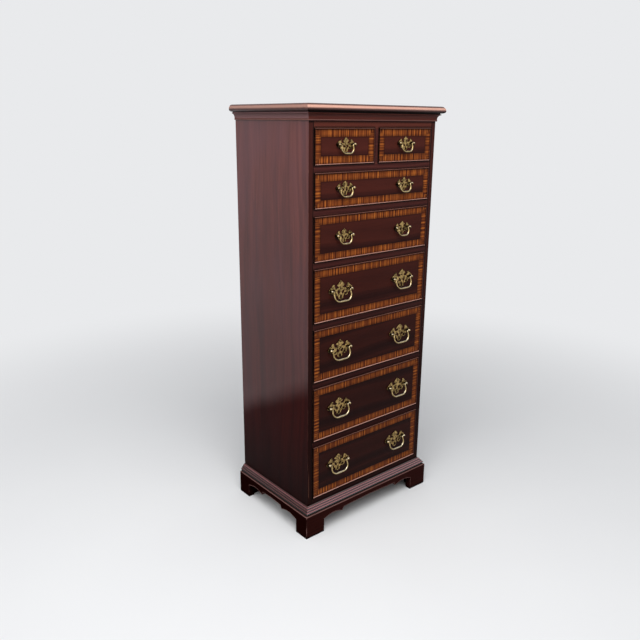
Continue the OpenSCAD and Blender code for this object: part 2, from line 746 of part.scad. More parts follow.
// A post: bolt shank through the drawer front, collar on the plate, neck, and round
// head with a blind bore for the bail. It faces its partner on the side of -e.
module post(e) {
    plate_y = front_y - plate_t - glue_line;
    hinge_y = front_y - hinge_out;
    end_y = front_y + front_t + nut_t;
    translate([0, hinge_y, 0]) difference() {
        union() {
            rotate([0, 0, -90]) sphere(head_r);
            rotate([-90, 0, 0]) cylinder(h = plate_y - hinge_y, r = neck_r);
            rotate([-90, 0, 0]) translate([0, 0, plate_y - hinge_y - collar_h])
                cylinder(h = collar_h, r = collar_r);
            rotate([-90, 0, 0]) cylinder(h = end_y - hinge_y, r = shank_r);
        }
        rotate([0, -90 * e, 0]) translate([0, 0, -pin_reach - pin_gap])
            cylinder(h = 3 * head_r, r = pin_r + pin_gap);
    }
}

module nut() {
    y0 = front_y + front_t;
    along_y(y0, y0 + nut_t) difference() {
        circle(d = nut_w, $fn = 6);
        circle(shank_r + shank_gap);
    }
}

module pull_plates(d) {
    color(brass) for (s = pull_sides(d)) translate([s * pull_x(d[1]), 0, pull_z(d[1])]) {
        along_y(front_y - plate_t, front_y) plate_shape(d);
        for (e = [-1, 1]) translate([e * boring(d) / 2, 0, 0]) {
            post(e);
            nut();
        }
    }
}

// A stretch of round bar bent in X and Z about a centre, from angle a0 to a1
module bent_bar(c, bend_r, bar_r, a0, a1) {
    translate([c[0], 0, c[1]]) rotate([90, 0, 0]) rotate([0, 0, a0])
        rotate_extrude(angle = a1 - a0) translate([bend_r, 0]) circle(bar_r);
}

// Half a bail without its grip: pin, tight bend, leaning limb and wide bend about c
module half_bail(d, elbow, c) {
    pin_end = boring(d) / 2 + pin_reach;
    along = [sin(limb_lean), -cos(limb_lean)];
    limb_l = limb_length(d);
    limb_end = c + bend(d) * [cos(limb_lean), sin(limb_lean)] + bar_lap * along;
    translate([elbow[0] - bar_lap, 0, 0]) rotate([0, 90, 0])
        cylinder(h = pin_end - elbow[0] + bar_lap, r = pin_r);
    bent_bar(elbow, elbow_bend, pin_r + bar_step, 90, 180 + limb_lean);
    translate([limb_end[0], 0, limb_end[1]]) rotate([0, -limb_lean, 0])
        cylinder(h = limb_l + 2 * bar_lap, r1 = bail_r - bar_step, r2 = pin_r);
    bent_bar(c, bend(d), bail_r, -90, limb_lean);
}

function limb_length(d) = let (r = bend(d) + elbow_bend)
    (drop(d) - r - r * sin(limb_lean)) / cos(limb_lean);

// The grip in X, swelling from its ends to its middle
module grip(half) {
    n = 2 * round_steps;
    end_r = bail_r + bar_step;
    rotate([0, 90, 0]) rotate_extrude() polygon(concat([[0, -half]],
        [for (i = [0:n]) let (t = 2 * i / n - 1) [end_r + (grip_r - end_r) * cos(90 * t), half * t]],
        [[0, half]]));
}

module bail(d, s) {
    elbow = [boring(d) / 2 - head_r - elbow_space, -elbow_bend];
    r = bend(d);
    c = elbow - elbow_bend * [cos(limb_lean), sin(limb_lean)]
        + limb_length(d) * [sin(limb_lean), -cos(limb_lean)] - r * [cos(limb_lean), sin(limb_lean)];
    color(brass) translate([s * pull_x(d[1]), front_y - hinge_out, pull_z(d[1])])
        rotate([-bail_lift(d), 0, 0]) {
            both_sides() half_bail(d, elbow, c);
            translate([0, 0, c[1] - r]) grip(c[0] + bar_lap);
        }
}

left_side_panel();
right_side_panel();
top_board();
cornice_moulding();
back_panel();
drawer_rails();
top_drawer_divider();
drawer_runners();
case_floor();
base_moulding();
front_bracket();
side_brackets();
rear_brackets();
base_blocks();
for (d = DRAWERS) {
    drawer_front(d);
    drawer_box(d);
    drawer_bottom(d);
    pull_plates(d);
    for (s = pull_sides(d)) {
        bail(d, s);
    }
}
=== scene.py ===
# %% [markdown]
# # Dressing a tall chest of drawers
#
# The joinery of this chest is already built, at its real size: a case with seven rows of
# drawers, fronts framed by half-round beads, a cove cornice, a scrolled bracket base and
# fourteen pierced pulls. What is missing is everything that the eye calls mahogany,
# banding, lacquer and old brass. The cells below add these one at a time. Each one says
# what the finish or the piece is on a real chest, how else it could be made, and why it
# is made this way here.

# %% Open the built chest
import json
import math

import bpy
import numpy as np
from mathutils import Matrix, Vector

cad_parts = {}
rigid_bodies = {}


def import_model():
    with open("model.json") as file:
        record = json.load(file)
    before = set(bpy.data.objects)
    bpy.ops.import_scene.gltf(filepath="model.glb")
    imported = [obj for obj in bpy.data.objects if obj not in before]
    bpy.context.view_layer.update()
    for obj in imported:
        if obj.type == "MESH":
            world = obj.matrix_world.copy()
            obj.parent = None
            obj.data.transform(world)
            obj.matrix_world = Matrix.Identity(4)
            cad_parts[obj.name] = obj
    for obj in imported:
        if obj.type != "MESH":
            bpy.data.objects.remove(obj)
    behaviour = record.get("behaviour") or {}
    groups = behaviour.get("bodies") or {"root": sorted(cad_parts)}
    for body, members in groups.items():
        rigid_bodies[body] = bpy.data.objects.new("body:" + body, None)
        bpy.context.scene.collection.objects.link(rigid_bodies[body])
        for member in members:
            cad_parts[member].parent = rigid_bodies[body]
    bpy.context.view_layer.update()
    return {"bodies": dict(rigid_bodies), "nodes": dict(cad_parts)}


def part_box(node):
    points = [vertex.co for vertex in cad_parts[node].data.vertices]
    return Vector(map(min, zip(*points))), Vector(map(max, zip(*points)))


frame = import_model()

MM = 0.001
nodes = frame["nodes"]

# %% [markdown]
# ## Where the eye is
#
# A camera can be aimed by eye, by a constraint on an empty, or by its place and angles.
# Place and angles are the only ones that say in numbers what the picture was taken from:
# a person's height, about a metre and a half in front of the chest and as far to its
# left, looking down a little. The lens follows from the focal length in picture widths.

# %% Camera
PICTURE_PX = 640
FOCAL_PX = 660.4
SENSOR_MM = 36.0
EYE = np.array([-1489.7, -1690.3, 1347.1]) * MM
TURN, DIP, ROLL = np.radians([39.94, 16.77, 0.475])


def aimed(turn, dip, roll):
    """The camera's three axes as columns: right, up and backwards.

    Forward starts along +Y, turns towards +X and dips below the horizon, and the
    picture then rolls about it.
    """
    forward = np.array([math.sin(turn) * math.cos(dip), math.cos(turn) * math.cos(dip), -math.sin(dip)])
    level = np.array([math.cos(turn), -math.sin(turn), 0.0])
    upright = np.cross(level, forward)
    right = math.cos(roll) * level + math.sin(roll) * upright
    up = math.cos(roll) * upright - math.sin(roll) * level
    return np.column_stack([right, up, -forward])


camera = bpy.data.objects.new("camera", bpy.data.cameras.new("camera"))
camera.data.sensor_width = SENSOR_MM
camera.data.lens = SENSOR_MM * FOCAL_PX / PICTURE_PX
camera.matrix_world = Matrix.Translation(EYE) @ Matrix(aimed(TURN, DIP, ROLL).tolist()).to_4x4()
bpy.context.scene.collection.objects.link(camera)
bpy.context.scene.camera = camera
bpy.context.scene.view_settings.view_transform = "Standard"
print(f"lens {camera.data.lens:.1f} mm")

# %% [markdown]
# ## Making a mesh from arrays
#
# The chest is all there, so the only new surface here is the one that it stands on. It is
# a grid: one parameter runs up its profile, the other round it, and numpy works out all
# its points at once. One helper turns such a grid into a mesh that closes on itself.
# Building the same thing with `bpy.ops` would work too, but operators depend on what is
# selected, and arrays don't.

# %% Grid to mesh


def skin(name, points):
    """Mesh over a grid of points[u, v] that closes on itself along v."""
    rows, cols = points.shape[:2]
    u, v = np.meshgrid(np.arange(rows - 1), np.arange(cols), indexing="ij")
    here, after = u * cols, (v + 1) % cols
    quads = np.stack([here + v, here + after, here + cols + after, here + cols + v], -1)
    mesh = bpy.data.meshes.new(name)
    mesh.from_pydata(points.reshape(-1, 3).tolist(), [], quads.reshape(-1, 4).tolist())
    mesh.shade_smooth()
    piece = bpy.data.objects.new(name, mesh)
    bpy.context.scene.collection.objects.link(piece)
    return piece


print("grid helper ready")

# %% [markdown]
# ## The floor that nobody looks at
#
# Pictures of furniture are often taken in a sweep: a floor that curves up into a wall, so
# that no horizon line crosses the chest. A flat plane would leave that line in view, and
# a straight backdrop would only work from one side. Here the sweep is turned like a bowl,
# so it looks the same from everywhere. It is a profile of three stretches, flat, quarter
# round and upright, carried round a circle.

# %% Sweep
FLOOR_R, SWEEP_R, WALL_H = 4.2, 1.5, 2.6
SWEEP_STEPS, ROUND_STEPS = 12, 96
MIDDLE_R = 1 * MM


def bowl(floor_r, sweep_r, wall_h):
    """Point(t, a) = (r(t) cos a, r(t) sin a, z(t)), with t along the profile and a round it."""
    bend = np.linspace(-math.pi / 2, 0, SWEEP_STEPS)
    r = np.concatenate([[MIDDLE_R, floor_r], floor_r + sweep_r * np.cos(bend), [floor_r + sweep_r]])
    z = np.concatenate([[0.0, 0.0], sweep_r + sweep_r * np.sin(bend), [sweep_r + wall_h]])
    a = np.linspace(0, 2 * math.pi, ROUND_STEPS, endpoint=False)
    heights = np.repeat(z[:, None], ROUND_STEPS, 1)
    return np.stack([np.outer(r, np.cos(a)), np.outer(r, np.sin(a)), heights], -1)


sweep = skin("sweep", bowl(FLOOR_R, SWEEP_R, WALL_H)[:, ::-1])
print(f"sweep {2 * FLOOR_R:.1f} m across")

# %% [markdown]
# ## Soft light at a plain level
#
# The chest was seen under an overcast sky: no hard shadow anywhere, most of the light from
# above and in front, and less of it the lower down one looks. A wide lamp overhead, close
# enough that the top gets more than the feet, gives that fall. Two weak ones stop the front
# and the left side from going flat, and the open sky over the sweep is what the polish
# reflects. Together they light a white card to about white, so a colour in the picture
# comes out about as it is written in the material.

# %% Lamps
bpy.context.scene.world = bpy.data.worlds.new("sky")
bpy.context.scene.world.use_nodes = True
sky = bpy.context.scene.world.node_tree.nodes["Background"]
sky.inputs["Color"].default_value = (0.93, 0.96, 1.0, 1.0)
sky.inputs["Strength"].default_value = 0.55


def softbox(name, place, target, size, watts):
    """A square area lamp of that size, aimed from place at target."""
    lamp = bpy.data.lights.new(name, "AREA")
    lamp.size, lamp.energy = size, watts
    holder = bpy.data.objects.new(name, lamp)
    beam = np.array(target, float) - place
    across = np.cross(beam, [0.0, 0.001, 1.0])
    across /= np.linalg.norm(across)
    beam /= np.linalg.norm(beam)
    turn = Matrix(np.column_stack([across, np.cross(across, beam), -beam]).tolist())
    holder.matrix_world = Matrix.Translation(place) @ turn.to_4x4()
    bpy.context.scene.collection.objects.link(holder)
    return holder


softbox("overhead", (-1.2, -1.3, 3.0), (0, 0, 0.9), 2.4, 80)
softbox("front_fill", (0.3, -3.4, 2.4), (0, 0, 1.0), 2.0, 20)
softbox("left_fill", (-3.4, 0.3, 2.4), (0, 0, 1.0), 2.0, 32)

# %% [markdown]
# ## A small language for nodes
#
# A material is a graph, and writing each node out in four lines hides what it says. These
# helpers put a node, wire its inputs and hand back the socket that comes next, so that a
# finish reads like a sum. Nothing here is about wood or brass yet.

# %% Node helpers


def put(tree, kind, values=(), **options):
    """A node of that kind with its options set and its inputs wired, by name or by number."""
    node = tree.nodes.new("ShaderNode" + kind)
    for option, choice in options.items():
        setattr(node, option, choice)
    for socket, value in dict(values).items():
        if isinstance(value, bpy.types.NodeSocket):
            tree.links.new(value, node.inputs[socket])
        else:
            node.inputs[socket].default_value = value
    return node


def calc(tree, operation, *values):
    """Result of one arithmetic step."""
    return put(tree, "Math", enumerate(values), operation=operation).outputs[0]


def times(tree, first, second):
    """Product of two values; of two masks, where both hold."""
    return calc(tree, "MULTIPLY", first, second)


def most(tree, first, second):
    """The larger of two values; of two masks, where either holds."""
    return calc(tree, "MAXIMUM", first, second)


def inverse(tree, mask):
    """Where a mask doesn't hold."""
    return calc(tree, "SUBTRACT", 1.0, mask)


def fade(tree, value, low, high):
    """0 below low, 1 above high and a smooth step between; low may be the larger one."""
    values = {"Value": value, "From Min": low, "From Max": high}
    return put(tree, "MapRange", values, interpolation_type="SMOOTHSTEP").outputs["Result"]


def between(tree, value, low, high, soft):
    """1 from low to high, fading out over a soft stretch on either side."""
    return times(tree, fade(tree, value, low - soft, low), fade(tree, value, high + soft, high))


def mix(tree, amount, first, second, blend="MIX"):
    """Colour between first and second."""
    node = put(tree, "Mix", {0: amount, 6: first, 7: second}, data_type="RGBA", blend_type=blend)
    return node.outputs[2]


def mix_value(tree, amount, first, second):
    """Number between first and second."""
    return put(tree, "Mix", {0: amount, 2: first, 3: second}, data_type="FLOAT").outputs[0]


def ramp(tree, amount, *stops):
    """Colours along 0 to 1: each stop is (place, colour)."""
    node = put(tree, "ValToRGB", {0: amount})
    elements = node.color_ramp.elements
    while len(elements) < len(stops):
        elements.new(0.5)
    for element, (place, colour) in zip(elements, stops):
        element.position, element.color = place, colour
    return node.outputs["Color"]


print("colour and number helpers ready")

# %% [markdown]
# ## Helpers for places, colours and groups
#
# A pattern is placed by the coordinates that it reads, so the second half of the language
# moves, stretches and splits these. Colours are written as a colour picker shows them and
# turned into the linear numbers that a socket takes. A node group is to a material what a
# function is to a script: it is built once and then used with other values.

# %% Place and group helpers


def cloud(tree, vector, scale, detail=2.0, roughness=0.5):
    """Noise from 0 to 1 with a feature every 1/scale metres."""
    values = {"Vector": vector, "Scale": scale, "Detail": detail, "Roughness": roughness}
    return put(tree, "TexNoise", values).outputs["Fac"]


def stretch(tree, vector, factors):
    """The coordinates multiplied, so that a pattern on them shrinks by these factors."""
    return put(tree, "VectorMath", {0: vector, 1: factors}, operation="MULTIPLY").outputs[0]


def shift(tree, vector, offset):
    """The coordinates moved by an offset."""
    return put(tree, "VectorMath", {0: vector, 1: offset}, operation="ADD").outputs[0]


def split(tree, vector):
    """The three numbers of a vector."""
    return put(tree, "SeparateXYZ", {0: vector}).outputs


def join(tree, x, y, z):
    """A vector of three numbers."""
    return put(tree, "CombineXYZ", {0: x, 1: y, 2: z}).outputs[0]


def own_normal(tree):
    """The three parts of the surface's direction on the piece itself, from -1 to 1."""
    return split(tree, put(tree, "TexCoord").outputs["Normal"])


def rgb(red, green, blue):
    """An sRGB colour of 0 to 255 as the linear colour that a socket takes."""
    share = np.array([red, green, blue]) / 255
    linear = np.where(share <= 0.04045, share / 12.92, ((share + 0.055) / 1.055) ** 2.4)
    return (*linear.tolist(), 1.0)


def new_group(name, inputs, outputs):
    """An empty node group, with its input sockets to read and its output sockets to fill."""
    tree = bpy.data.node_groups.new(name, "ShaderNodeTree")
    for socket, default in inputs.items():
        kind = "NodeSocketVector" if isinstance(default, tuple) else "NodeSocketFloat"
        added = tree.interface.new_socket(socket, in_out="INPUT", socket_type=kind)
        added.default_value = default
    for socket in outputs:
        kind = "NodeSocketVector" if socket.endswith("Vector") else "NodeSocketFloat"
        tree.interface.new_socket(socket, in_out="OUTPUT", socket_type=kind)
    return tree, tree.nodes.new("NodeGroupInput").outputs, tree.nodes.new("NodeGroupOutput").inputs


def use(tree, group, values):
    """The outputs of a node group placed in a material with its own values."""
    return put(tree, "Group", values, node_tree=group).outputs


print("place and group helpers ready")

# %% [markdown]
# ## How a board shows its tree
#
# Wood figure isn't noise: it is a set of growth rings round a pith, cut by a plane. A
# board sawn far to one side of the pith shows straight stripes, and one sawn over it
# shows tall arches. So the group measures the distance from a pith line that wanders a
# little along the trunk, and turns that distance into soft bands. Fibres are fine streaks
# along the grain, and pores are short dark ticks, which mahogany has all over. Grain runs
# along X here, and each material turns its coordinates so that it does.

# %% Grain group


def turned(tree, vector, along, across):
    """The coordinates with the axis called along first and across second."""
    axes = dict(zip("XYZ", split(tree, vector)))
    depth = next(a for a in "XYZ" if a not in (along, across))
    return join(tree, axes[along], axes[across], axes[depth])


FIBRE_STRETCH, PORE_STRETCH = (16.0, 520.0, 520.0), (170.0, 2600.0, 2600.0)
grain, given, made = new_group(
    "grain",
    {"Vector": (0.0, 0.0, 0.0), "Pith": (0.0, 0.0, -0.08), "Ring": 0.008, "Wander": 0.02},
    ["Figure", "Fibre", "Pores"],
)
_, y, z = split(grain, given["Vector"])
drift = cloud(grain, stretch(grain, given["Vector"], (1.3, 3.0, 3.0)), 1.0, 2.0)
drift = times(grain, calc(grain, "SUBTRACT", drift, 0.5), given["Wander"])
wandering = join(grain, 0.0, calc(grain, "ADD", y, drift), z)
from_pith = put(grain, "VectorMath", {0: wandering, 1: given["Pith"]}, operation="DISTANCE")
rings = calc(grain, "DIVIDE", from_pith.outputs["Value"], given["Ring"])
bands = {"W": rings, "Scale": 1.0, "Detail": 2.5, "Roughness": 0.55}
figure = put(grain, "TexNoise", bands, noise_dimensions="1D").outputs["Fac"]
fibres = cloud(grain, stretch(grain, given["Vector"], FIBRE_STRETCH), 1.0, 3.0, 0.6)
ticks = cloud(grain, stretch(grain, given["Vector"], PORE_STRETCH), 1.0, 1.0)
grain.links.new(figure, made["Figure"])
grain.links.new(fibres, made["Fibre"])
grain.links.new(fade(grain, ticks, 0.58, 0.7), made["Pores"])
print("grain group:", len(grain.nodes), "nodes")

# %% [markdown]
# ## A banding laid round a drawer front
#
# Crossbanding is a strip of striped veneer laid with its grain square to the edge, and
# mitred where two strips meet. A texture painted for one front would not fit the next.
# Instead the group works from the front's own half sizes: the distance to the nearest
# edge says whether a point is in the band, and whichever edge is nearer says which way
# the strip runs, which makes the mitre by itself. Scorched hot sand darkened the veneer
# next to the joint, so the group gives that shade too.

# %% Banding group
HAIR, JOINT_W = 0.1 * MM, 0.25 * MM
SHADE_IN, SHADE_OUT = 9 * MM, 6 * MM
CORNER_IN, CORNER_OUT = 2 * MM, 18 * MM
NEXT_STRIP = 0.731
banding, given, made = new_group(
    "banding",
    {"Vector": (0.0, 0.0, 0.0), "Half Width": 0.25, "Half Height": 0.08, "Band": 0.022},
    ["Band", "Edge", "Joint", "Scorch", "Corner", "Strip Vector"],
)
x, y, z = split(banding, given["Vector"])
to_end = calc(banding, "SUBTRACT", given["Half Width"], calc(banding, "ABSOLUTE", x))
to_rim = calc(banding, "SUBTRACT", given["Half Height"], calc(banding, "ABSOLUTE", y))
edge = calc(banding, "MINIMUM", to_end, to_rim)
past_band = calc(banding, "SUBTRACT", edge, given["Band"])
upright = calc(banding, "LESS_THAN", to_end, to_rim)
level = inverse(banding, upright)
run = calc(banding, "ADD", times(banding, upright, y), times(banding, level, x))
strip = calc(banding, "ADD", times(banding, upright, x), times(banding, level, y))
strip = calc(banding, "ADD", calc(banding, "SIGN", strip), times(banding, upright, 5.0))
run = calc(banding, "ADD", run, times(banding, strip, NEXT_STRIP))
mitre = calc(banding, "ABSOLUTE", calc(banding, "SUBTRACT", to_end, to_rim))
in_band = fade(banding, past_band, HAIR, -HAIR)
on_mitre = times(banding, fade(banding, mitre, 1.4 * JOINT_W, 0.0), in_band)
on_joint = fade(banding, calc(banding, "ABSOLUTE", past_band), JOINT_W, 0.0)
shaded = [fade(banding, past_band, -SHADE_IN, 0.0), fade(banding, past_band, SHADE_OUT, 0.0)]
near_mitre = times(banding, fade(banding, mitre, CORNER_OUT, CORNER_IN), in_band)
banding.links.new(in_band, made["Band"])
banding.links.new(edge, made["Edge"])
banding.links.new(most(banding, on_mitre, on_joint), made["Joint"])
banding.links.new(times(banding, *shaded), made["Scorch"])
banding.links.new(near_mitre, made["Corner"])
banding.links.new(join(banding, edge, run, z), made["Strip Vector"])
print("banding group:", len(banding.nodes), "nodes")

# %% [markdown]
# ## Worn arrises
#
# Hands, dusters and feet rub the colour off the sharp edges of a chest. The bevel node
# looks a little way round each point: where the rounded normal leans away from the true
# one, there is an edge. A cloudy mask breaks the wear up, so that it isn't an outline
# drawn round every board.

# %% Wear group
wear, given, made = new_group(
    "wear",
    {"Vector": (0.0, 0.0, 0.0), "Reach": 0.002, "Amount": 0.5},
    ["Worn"],
)
rounded = put(wear, "Bevel", {"Radius": given["Reach"]}, samples=6).outputs[0]
facing = put(wear, "NewGeometry").outputs["Normal"]
same = put(wear, "VectorMath", {0: rounded, 1: facing}, operation="DOT_PRODUCT").outputs["Value"]
leaning = fade(wear, same, 0.985, 0.80)
broken = fade(wear, cloud(wear, given["Vector"], 28.0, 4.0, 0.6), 0.42, 0.62)
wear.links.new(times(wear, times(wear, leaning, broken), given["Amount"]), made["Worn"])
print("wear group:", len(wear.nodes), "nodes")

# %% [markdown]
# ## Painted shade in the corners, and patina
#
# Where two surfaces meet, less light reaches, and on the wood this group paints that shade
# into the colour; on the brass it gives the patina in the recesses. Ambient occlusion tells
# how much of the open a point sees within a short reach, so one group turns that into a
# mask of corners, seams and hollows. Painting dark lines would need a new line for each
# piece, and they would stay behind when a drawer slides.

# %% Corner shade and patina group
shade_and_patina, given, made = new_group("shade_and_patina", {"Reach": 0.008, "Clear": 0.98, "Closed": 0.86}, ["Dust"])
# Painted shade on wood and patina on brass, wherever little of the open is seen within reach.
seen = put(shade_and_patina, "AmbientOcclusion", {"Distance": given["Reach"]}, samples=8).outputs["AO"]
shade_and_patina.links.new(fade(shade_and_patina, seen, given["Clear"], given["Closed"]), made["Dust"])
print("dust group:", len(shade_and_patina.nodes), "nodes")


def shade_and_patina_mask(tree, reach, clear_share, closed_share):
    """1 where at most the closed share of the open is seen within reach, 0 above the clear share: painted
    shade in corners of wood, patina in recesses of brass.
    """
    return use(tree, shade_and_patina, {"Reach": reach, "Clear": clear_share, "Closed": closed_share})["Dust"]

# %% [markdown]
# ## Light and dark with height
#
# A chest isn't lit evenly: the light comes from above and falls off lower down, so the
# colour is painted darker towards the floor as painted shade, and the top keeps its own.
# The polish is gone from the foot of each side too, up to a slanting line that rises
# towards the front, where feet and mops reach. One group gives both to the sides, the
# rails, the base boards and the fronts: how much painted shade the colour takes, where the
# polish is left, and how much shine that makes, which is most at the top. A moulding lies
# at one height, so its own tones say it already. Mixing in such a layer by hand on each
# board would do the same with far more nodes, and the boards wouldn't agree.

# %% Age group
DULL_TO, SHINY_FROM, DULL_SLANT = 0.400, 0.485, 0.5
# Painted shade: heights below which the colour takes its full painted shade and above which it takes none.
FULL_SHADE_BELOW, FULL_LIGHT_ABOVE = 0.35, 1.45
FOOT_SHINE, SHINE_RISE = 0.68, 0.25
shade_and_polish, given, made = new_group("shade_and_polish", {"Vector": (0.0, 0.0, 0.0)}, ["Faded", "Polished", "Shine"])
_, y, height = split(shade_and_polish, given["Vector"])
patchy = calc(shade_and_polish, "SUBTRACT", cloud(shade_and_polish, given["Vector"], 4.0, 3.0), 0.5)
slanted = calc(shade_and_polish, "ADD", height, times(shade_and_polish, y, DULL_SLANT))
slanted = calc(shade_and_polish, "ADD", slanted, times(shade_and_polish, patchy, 0.08))
uneven = calc(shade_and_polish, "ADD", height, times(shade_and_polish, patchy, 0.30))
polished = fade(shade_and_polish, slanted, DULL_TO, SHINY_FROM)
rising = calc(shade_and_polish, "ADD", times(shade_and_polish, uneven, SHINE_RISE), FOOT_SHINE)
# Painted shade: the share of full light that the colour keeps at a height, more the higher up.
shade_and_polish.links.new(fade(shade_and_polish, uneven, FULL_SHADE_BELOW, FULL_LIGHT_ABOVE), made["Faded"])
shade_and_polish.links.new(polished, made["Polished"])
shade_and_polish.links.new(times(shade_and_polish, polished, rising), made["Shine"])
print("age group:", len(shade_and_polish.nodes), "nodes")

# %% [markdown]
# ## Mahogany under lacquer
#
# The case is a dark red-brown mahogany, stained and then lacquered to a soft shine. A
# lacquer is a clear coat over the coloured wood, so the coat has its own, smoother
# roughness while the wood beneath stays satin. Painting one brown with one gloss would be
# quicker, but then nothing would tell the board from its finish. The pores are open, so
# they sink a little in the relief.

# %% Lacquered wood
SATIN = 0.36
STILE = (rgb(60, 27, 23), rgb(72, 34, 29), rgb(88, 44, 36))


def blank(name):
    """A material with an empty tree, and its object coordinates."""
    material = bpy.data.materials.new(name)
    material.use_nodes = True
    material.node_tree.nodes.clear()
    return material, material.node_tree, put(material.node_tree, "TexCoord").outputs["Object"]


def mahogany_colour(tree, sawn, pith, ring=0.011, wander=0.05, tones=STILE):
    """Colour, fibres and pores of mahogany; the coordinates' X runs along the grain."""
    values = {"Vector": sawn, "Pith": pith, "Ring": ring, "Wander": wander}
    figure, fibre, pores = use(tree, grain, values)
    tone = calc(tree, "ADD", times(tree, figure, 0.65), times(tree, fibre, 0.35))
    deep, body, warm = tones
    colour = ramp(tree, tone, (0.32, deep), (0.5, body), (0.70, warm))
    return mix(tree, times(tree, pores, 0.35), colour, deep), fibre, pores


def satin(tree, fibre, spread=0.1):
    """Roughness of planed wood, a little higher along some fibres."""
    return calc(tree, "ADD", times(tree, fibre, spread), SATIN)


def lacquered(material, colour, roughness, pores, coat, coat_roughness=0.2, coat_ior=1.5, specular=0.03):
    """A Principled surface with sunk pores under a clear coat."""
    tree = material.node_tree
    sunk = times(tree, pores, -1.0)
    relief = put(tree, "Bump", {"Strength": 0.3, "Distance": 0.2 * MM, "Height": sunk}).outputs[0]
    values = {
        "Base Color": colour,
        "Roughness": roughness,
        "Normal": relief,
        "Coat Weight": coat,
        "Coat Roughness": coat_roughness,
        "Coat IOR": coat_ior,
        "Specular IOR Level": specular,
    }
    surface = put(tree, "BsdfPrincipled", values)
    tree.links.new(surface.outputs[0], put(tree, "OutputMaterial").inputs[0])


print("lacquered wood ready")

# %% [markdown]
# ## Rails and bracket boards
#
# The rails between the drawers and the boards of the scrolled base are straight-grained
# sticks. Near its top the top rail is painted lighter, as painted light from above, and
# near the floor the bottom rail is painted darker, as painted shade; seams beside the
# drawers take painted shade too, and the boards at the sides and back take darker tones
# than the front one, as painted shade. The base boards' arrises are worn, and along their
# upper edge and along the scroll a pale line is a painted highlight where the edge catches
# the light, which a bevel node finds: on an upright face, the rounded normal dips only near
# a lower edge. Each stick could have its own graph, but they would all be alike, so one
# function makes them: what changes is the tones, which way the grain runs and how worn the
# edges are.

# %% Rails and bracket boards
RAIL = (rgb(66, 30, 28), rgb(79, 38, 34), rgb(96, 49, 43))
BRACKET = (rgb(62, 24, 20), rgb(76, 32, 27), rgb(94, 43, 36))
# A darker copy of the bracket tones, as painted shade for the boards that face the sides and back.
SHADED_BRACKET = (rgb(42, 14, 12), rgb(52, 18, 15), rgb(64, 25, 20))
# The first colour here is wear; the rest paint light and shade: a highlight on the bracket boards' edges,
# light on the top rail, a near black and a darkening factor for shade.
RUBBED, WEAR_AND_HIGHLIGHT_LOW, TOP_LIGHT = rgb(168, 112, 92), rgb(150, 112, 106), rgb(122, 62, 46)
SHADE_DARK, LOW_SHADE = rgb(16, 8, 7), (0.26, 0.22, 0.22, 1.0)
FAR_PITH = (0.0, -2.0, 0.2)
EDGE_REACH, SCROLL_EDGE = 3.5 * MM, 4.5 * MM
# Painted shade in the seams, from ambient occlusion.
SEAM_SHADE = (8 * MM, 0.98, 0.86)
# Painted shade just above the floor.
FLOOR_SHADE_FROM, FLOOR_SHADE_TO = 190 * MM, 115 * MM
# Painted light on the top rail fades in over this reach.
TOP_LIGHT_REACH, RAIL_H = 60 * MM, 20 * MM
THIN_COAT = 0.08


def shaded_with_height(tree, place, colour, strength=1.0, shade=LOW_SHADE):
    """The colour with painted shade towards the floor, the polished part, and the shine left."""
    light_share, polished, shine = use(tree, shade_and_polish, {"Vector": place})
    # Painted shade: the colour is darkened by how little light its height keeps.
    shade_share = times(tree, inverse(tree, light_share), strength)
    return mix(tree, shade_share, colour, shade, "MULTIPLY"), polished, shine


def bracket_wear_and_highlights(tree, height, rubbed, top):
    """The worn mask with a painted highlight along a bracket board's scrolled edge and upper edge added.
    """
    dip = split(tree, put(tree, "Bevel", {"Radius": SCROLL_EDGE}, samples=6).outputs[0])[2]
    up = own_normal(tree)[2]
    # Painted highlight along the lower edge of the scroll.
    scroll_highlight = times(tree, fade(tree, dip, -0.10, -0.36), fade(tree, up, -0.5, -0.2))
    off_floor = fade(tree, height, 8 * MM, 22 * MM)
    lower = times(tree, most(tree, rubbed, scroll_highlight), off_floor)
    # Painted highlight along the upper edge.
    top_edge_highlight = fade(tree, height, top - 3 * MM, top - 1 * MM)
    return most(tree, lower, times(tree, top_edge_highlight, 0.75))


def mahogany(name, along, worn, specular=0.03, bracket_top=None, lit_from=None, floor_shade=0.0, **look):
    """A finish for upright sticks whose grain runs along one axis."""
    material, tree, place = blank(name)
    colour, fibre, pores = mahogany_colour(tree, turned(tree, place, along, "Z"), FAR_PITH, **look)
    height = split(tree, place)[2]
    # Painted light: the colour turns lighter near the top of the top rail.
    if lit_from is not None:
        top_lit = fade(tree, height, lit_from - TOP_LIGHT_REACH, lit_from)
        colour = mix(tree, times(tree, top_lit, 0.5), colour, TOP_LIGHT)
    # Painted shade: darker towards the floor.
    colour, _, shine = shaded_with_height(tree, place, colour, 0.8)
    # Painted shade: darker still just above the floor.
    bottom_shade = times(tree, fade(tree, height, FLOOR_SHADE_FROM, FLOOR_SHADE_TO), floor_shade)
    colour = mix(tree, bottom_shade, colour, SHADE_DARK)
    rubbed = use(tree, wear, {"Vector": place, "Amount": worn, "Reach": EDGE_REACH})["Worn"]
    # On the bracket boards the pale mask adds a painted highlight along the scroll and the upper edge to
    # the wear.
    if bracket_top is not None:
        rubbed = bracket_wear_and_highlights(tree, height, rubbed, bracket_top)
    colour = mix(tree, rubbed, colour, RUBBED if bracket_top is None else WEAR_AND_HIGHLIGHT_LOW)
    # Painted shade in the seams and beside the drawers.
    colour = mix(tree, times(tree, shade_and_patina_mask(tree, *SEAM_SHADE), 0.8), colour, SHADE_DARK)
    coat = times(tree, shine, THIN_COAT)
    lacquered(material, colour, satin(tree, fibre, 0.12), pores, coat, specular=specular)
    return material


def finish(names, material):
    """Gives CAD nodes a material in place of the plain one that they came with."""
    for name in names:
        nodes[name].material_slots[0].material = material


